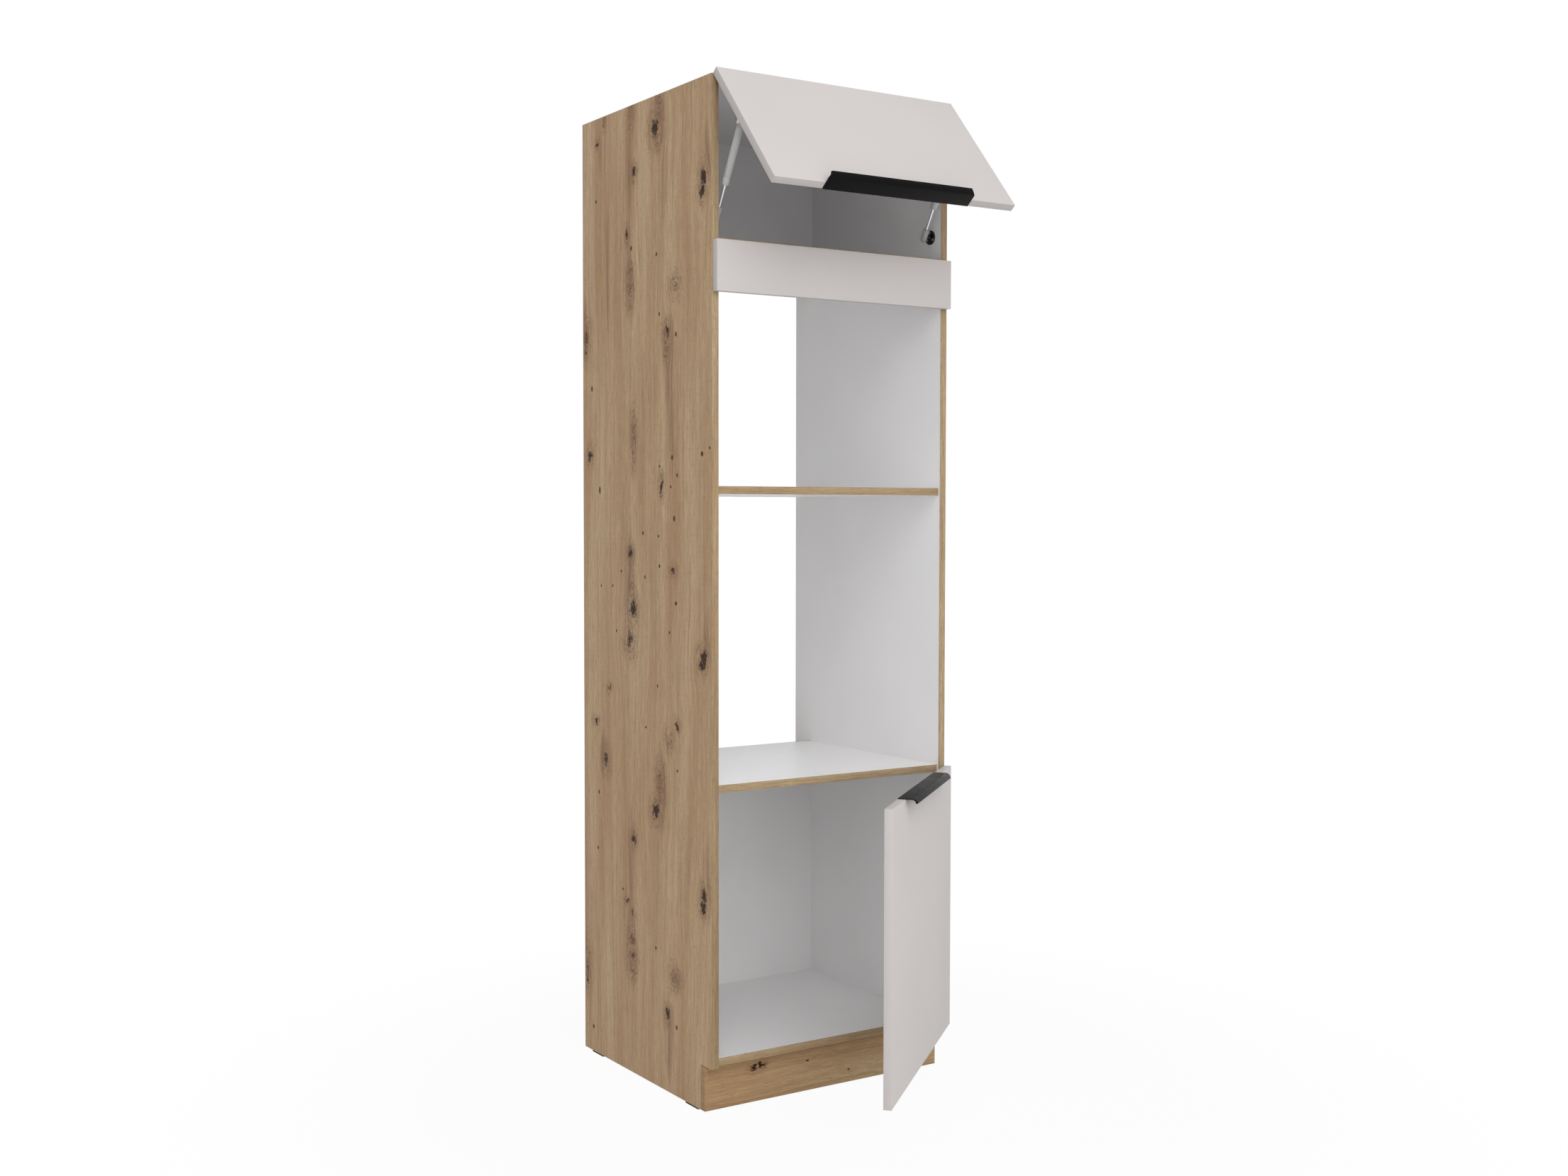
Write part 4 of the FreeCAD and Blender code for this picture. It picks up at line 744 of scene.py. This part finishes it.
# lengths in mm; a head is its radius and its height
hingeLook = {
    "doorAxis": (298, -29),              # x and y of the door's hinge line
    "flapAxis": (-29, 2099),             # y and z of the flap's
    "doorStations": (198.5, 578.0),      # up the door's edge
    "flapStations": (-202.0, 202.0),     # along the flap's edge
    "flangeScrew": (31.5, 22.5, 1.2),    # from the hinge edge, along it, above the panel
    "flangeHead": (3.6, 1.3),
    "plateScrew": (19.6, 38.0, 16.0),    # into the cabinet's opening, behind the front, along
    "plateHead": (3.4, 1.4),
    "armScrews": (32.4, (26.0, 52.0)),   # into the opening, and their two places behind the front
    "armHead": (3.0, 0.9),
}
doorX, doorY = hingeLook["doorAxis"]
flapY, flapZ = hingeLook["flapAxis"]
doorFrame = Matrix.Translation(Vector((doorX, doorY, 0)) * mm) @ Matrix.Rotation(frontTurn, 4, "Z")
flapFrame = Matrix.Translation(Vector((0, flapY, flapZ)) * mm) @ Matrix.Rotation(frontTurn, 4, Vector((-1, 0, 0)))
stillFrame = Matrix.Identity(4)
away, along, above = hingeLook["flangeScrew"]
inward, behind, apart = hingeLook["plateScrew"]
armTop, armSpots = hingeLook["armScrews"]
flangeHead, plateHead, armHead = hingeLook["flangeHead"], hingeLook["plateHead"], hingeLook["armHead"]
doorCup, doorPlate, flapCup, flapPlate = [], [], [], []
for station in hingeLook["doorStations"]:
    for side in (-1, 1):
        doorCup.append(((-away, above, station + side * along), (0, 1, 0), *flangeHead))
        doorPlate.append(((doorX - inward, behind + doorY, station + side * apart), (-1, 0, 0), *plateHead))
    for spot in armSpots:
        doorPlate.append(((doorX - armTop, spot + doorY, station), (-1, 0, 0), *armHead))
for station in hingeLook["flapStations"]:
    for side in (-1, 1):
        flapCup.append(((station + side * along, above, -away), (0, 1, 0), *flangeHead))
        flapPlate.append(((station + side * apart, behind + flapY, flapZ - inward), (0, 0, -1), *plateHead))
    for spot in armSpots:
        flapPlate.append(((station, spot + flapY, flapZ - armTop), (0, 0, -1), *armHead))
addFixings("doorCupScrews", "lower_door", doorFrame, doorCup)
addFixings("flapCupScrews", "lift_flap", flapFrame, flapCup)
addFixings("hingePlateScrews", "carcass", stillFrame, doorPlate + flapPlate)

# lengths in mm, places on the right half; the left half mirrors them
fixingLook = {
    "baseCentre": (281, 8.0, 1827.6),    # middle of a strut's base on the side panel
    "baseReach": 10.3,                   # radius of the ring of screws
    "baseHead": (2.7, 0.9),
    "earMiddle": (258.2, 2.0, -112),     # bracket of a strut, in the closed flap's frame
    "earRise": 14,
    "earHead": (3.2, 1.3),
    "angleScrews": (                     # place and aim
        ((270.8, -27, 1729), (0, 1, 0)), ((282, -15.8, 1729), (-1, 0, 0)),    # fascia
        ((282, 508.2, 2058), (-1, 0, 0)),                                     # wall
        ((184, 18, 87), (0, 1, 0)), ((204, 18, 87), (0, 1, 0)),               # plinth
        ((184, 32, 99), (0, 0, -1)), ((204, 32, 99), (0, 0, -1)),
    ),
    "angleHead": (3.4, 1.4),
    "nailStep": 104.0,
    "nailsAcross": 6,
    "nailBack": 460,                     # y of the back panels' face
    "nailRows": (109.0, 668.5, 1770.0, 2090.0),
    "nailHead": (2.4, 0.6),
}
baseRows, angleRows, earRows, nailRows = [], [], [], []
for side in (-1, 1):
    x, y, z = fixingLook["baseCentre"]
    reach = fixingLook["baseReach"]
    for third in range(3):
        turn = math.radians(90 + 120 * third)
        spot = (side * x, y + reach * math.cos(turn), z + reach * math.sin(turn))
        baseRows.append((spot, (-side, 0, 0), *fixingLook["baseHead"]))
    x, y, z = fixingLook["earMiddle"]
    for rise in (-fixingLook["earRise"], fixingLook["earRise"]):
        earRows.append(((side * x, y, z + rise), (0, 1, 0), *fixingLook["earHead"]))
    for (x, y, z), (aimX, aimY, aimZ) in fixingLook["angleScrews"]:
        angleRows.append(((side * x, y, z), (side * aimX, aimY, aimZ), *fixingLook["angleHead"]))
middle = (fixingLook["nailsAcross"] - 1) / 2
for z in fixingLook["nailRows"]:
    for step in range(fixingLook["nailsAcross"]):
        spot = ((step - middle) * fixingLook["nailStep"], fixingLook["nailBack"], z)
        nailRows.append((spot, (0, 1, 0), *fixingLook["nailHead"]))
addFixings("strutBaseScrews", "carcass", stillFrame, baseRows)
addFixings("angleScrews", "carcass", stillFrame, angleRows)
addFixings("strutBracketScrews", "lift_flap", flapFrame, earRows)
addFixings("backPanelNails", "carcass", stillFrame, nailRows, slotted=False)

strutLook = {
    "inset": 266.0,                # mm, x of either strut
    "low": (8.0, 1827.6),          # y and z of the pivot on the side
    "high": (-87.203, 2001.633),   # y and z of the ball on the flap
    "clipAbovePivot": 5.2,
    "clipBelowBall": 9.2,
    "clipRadius": 7.0,
    "clipWire": 0.55,
    "wireSegments": 10,
    "ringSteps": 40,
}


def addClip(name, body, centre, axis):
    # a closed wire ring spun round an axis through centre
    shape = bmesh.new()
    place = Matrix.Translation((strutLook["clipRadius"] * mm, 0, 0)) @ Matrix.Rotation(math.pi / 2, 4, "X")
    verts, edges = addLoop(shape, strutLook["clipWire"] * mm, place, strutLook["wireSegments"])
    bmesh.ops.spin(shape, geom=verts + edges, cent=(0, 0, 0), axis=(0, 0, 1),
                   angle=math.tau, steps=strutLook["ringSteps"], use_merge=True)
    bmesh.ops.remove_doubles(shape, verts=shape.verts, dist=0.001 * mm)
    bmesh.ops.recalc_face_normals(shape, faces=shape.faces)
    turn = axis.to_track_quat("Z", "Y").to_matrix().to_4x4()
    bmesh.ops.transform(shape, matrix=Matrix.Translation(centre * mm) @ turn, verts=shape.verts)
    finishPiece(shape, name, "chrome", body, 60)


for side, hand in ((-1, "left"), (1, "right")):
    low = Vector((side * strutLook["inset"], *strutLook["low"]))
    high = Vector((side * strutLook["inset"], *strutLook["high"]))
    run = (high - low).normalized()
    tag = hand.capitalize()
    addClip("strutLowClip" + tag, "strut_rod_" + hand, low + run * strutLook["clipAbovePivot"], run)
    addClip("strutHighClip" + tag, "strut_tube_" + hand, high - run * strutLook["clipBelowBall"], run)
print("fixings and strut rings added")

# floor, lights and camera, in metres and watts
stageLook = {
    "floorTone": "#e4e4e4",
    "floorHalf": 14.0,
    "floorGlow": 0.95,          # share of the floor's own white towards the camera
    "shadowReach": 1.5,         # distance from the object at which the floor is plain white
    "airInFront": 0.92,         # strength of the white air round the object
    "airBehind": 0.24,
    "airTurn": (-0.8, 0.8),     # where along Y the one fades into the other
    "lamps": (                  # name, place, aim, size, power
        ("softKey", (-1.3, -3.6, 4.4), (0.0, 0.1, 1.1), 3.6, 71.0),
        ("softFill", (-1.6, -4.2, 1.3), (0.0, 0.1, 1.0), 2.6, 15.0),
        ("lowFill", (-0.9, -2.2, 0.3), (0.05, 0.3, 0.38), 0.7, 4.2),    # reaches into the lower compartment
    ),
}
white = (1.0, 1.0, 1.0, 1.0)


def seenDirectly(tree):
    # 1 for camera rays and for what mirrors and glass show, 0 for the light that falls on things
    rays = addNode(tree, "LightPath").node.outputs
    passed = addNode(tree, "Math", (rays["Is Glossy Ray"], rays["Is Transmission Ray"]), operation="MAXIMUM")
    return addNode(tree, "Math", (rays["Is Camera Ray"], passed), operation="MAXIMUM")


floorMesh = bpy.data.meshes.new("studioFloor")
floorShape = bmesh.new()
bmesh.ops.create_grid(floorShape, x_segments=1, y_segments=1, size=stageLook["floorHalf"])
floorShape.to_mesh(floorMesh)
floorShape.free()
floor = bpy.data.objects.new("studioFloor", floorMesh)
bpy.context.scene.collection.objects.link(floor)
material, tree, shader = newMaterial("paleStudioFloor", Roughness=0.9, Specular_IOR_Level=0.1)
shader.inputs["Base Color"].default_value = tone(stageLook["floorTone"])
away = addNode(tree, "VectorMath", (addNode(tree, "TexCoord", out="Object"),), "Value", operation="LENGTH")
reach = stageLook["shadowReach"]
share = addNode(tree, "MapRange", (away, reach * 0.5, reach, stageLook["floorGlow"], 1.0))
share = addNode(tree, "Math", (seenDirectly(tree), share), operation="MULTIPLY")
glow = addNode(tree, "Emission", {"Color": white, "Strength": 1.0})
both = addNode(tree, "MixShader", (share, shader.outputs[0], glow))
tree.links.new(both, tree.nodes["Material Output"].inputs["Surface"])
floorMesh.materials.append(material)

world = bpy.data.worlds.new("studioAir")
bpy.context.scene.world = world
world.use_nodes = True
airTree = world.node_tree
heading = addNode(airTree, "SeparateXYZ", (addNode(airTree, "TexCoord", out="Generated"),), 1)
soft = addNode(airTree, "MapRange", (
    heading, *stageLook["airTurn"], stageLook["airInFront"], stageLook["airBehind"]))
strength = addNode(airTree, "Mix", {0: seenDirectly(airTree), 2: soft, 3: 1.0}, data_type="FLOAT")
air = airTree.nodes["Background"]
air.inputs["Color"].default_value = white
airTree.links.new(strength, air.inputs["Strength"])

for name, place, aim, size, power in stageLook["lamps"]:
    lamp = bpy.data.lights.new(name, "AREA")
    lamp.shape = "SQUARE"
    lamp.size = size
    lamp.energy = power
    holder = bpy.data.objects.new(name, lamp)
    holder.location = place
    holder.rotation_euler = (Vector(aim) - Vector(place)).to_track_quat("-Z", "Y").to_euler()
    bpy.context.scene.collection.objects.link(holder)

cameraLook = {
    # where the photograph was taken from, in metres and degrees
    "place": (-2.14525, -3.00911, 1.22508),
    "turnRight": 31.902,
    "lookDown": 2.372,
    "roll": -0.015,
    "focalPixels": 2467.82,
    "axisPixel": (1010.60, 827.75),
    "imagePixels": (2212, 1659),
    "sensor": 36.0,
    "farClip": 60.0,
}
view = bpy.data.cameras.new("photoCamera")
view.sensor_fit = "HORIZONTAL"
view.sensor_width = cameraLook["sensor"]
wide, high = cameraLook["imagePixels"]
view.lens = cameraLook["focalPixels"] / wide * cameraLook["sensor"]
view.shift_x = (wide / 2 - cameraLook["axisPixel"][0]) / wide
view.shift_y = (cameraLook["axisPixel"][1] - high / 2) / wide
view.clip_end = cameraLook["farClip"]
camera = bpy.data.objects.new("photoCamera", view)
camera.matrix_world = (
    Matrix.Translation(cameraLook["place"])
    @ Matrix.Rotation(math.radians(-cameraLook["turnRight"]), 4, "Z")
    @ Matrix.Rotation(math.radians(90 - cameraLook["lookDown"]), 4, "X")
    @ Matrix.Rotation(math.radians(cameraLook["roll"]), 4, "Z")
)
bpy.context.scene.collection.objects.link(camera)
bpy.context.scene.camera = camera
bpy.context.scene.view_settings.view_transform = "Standard"
print("camera and lights set")
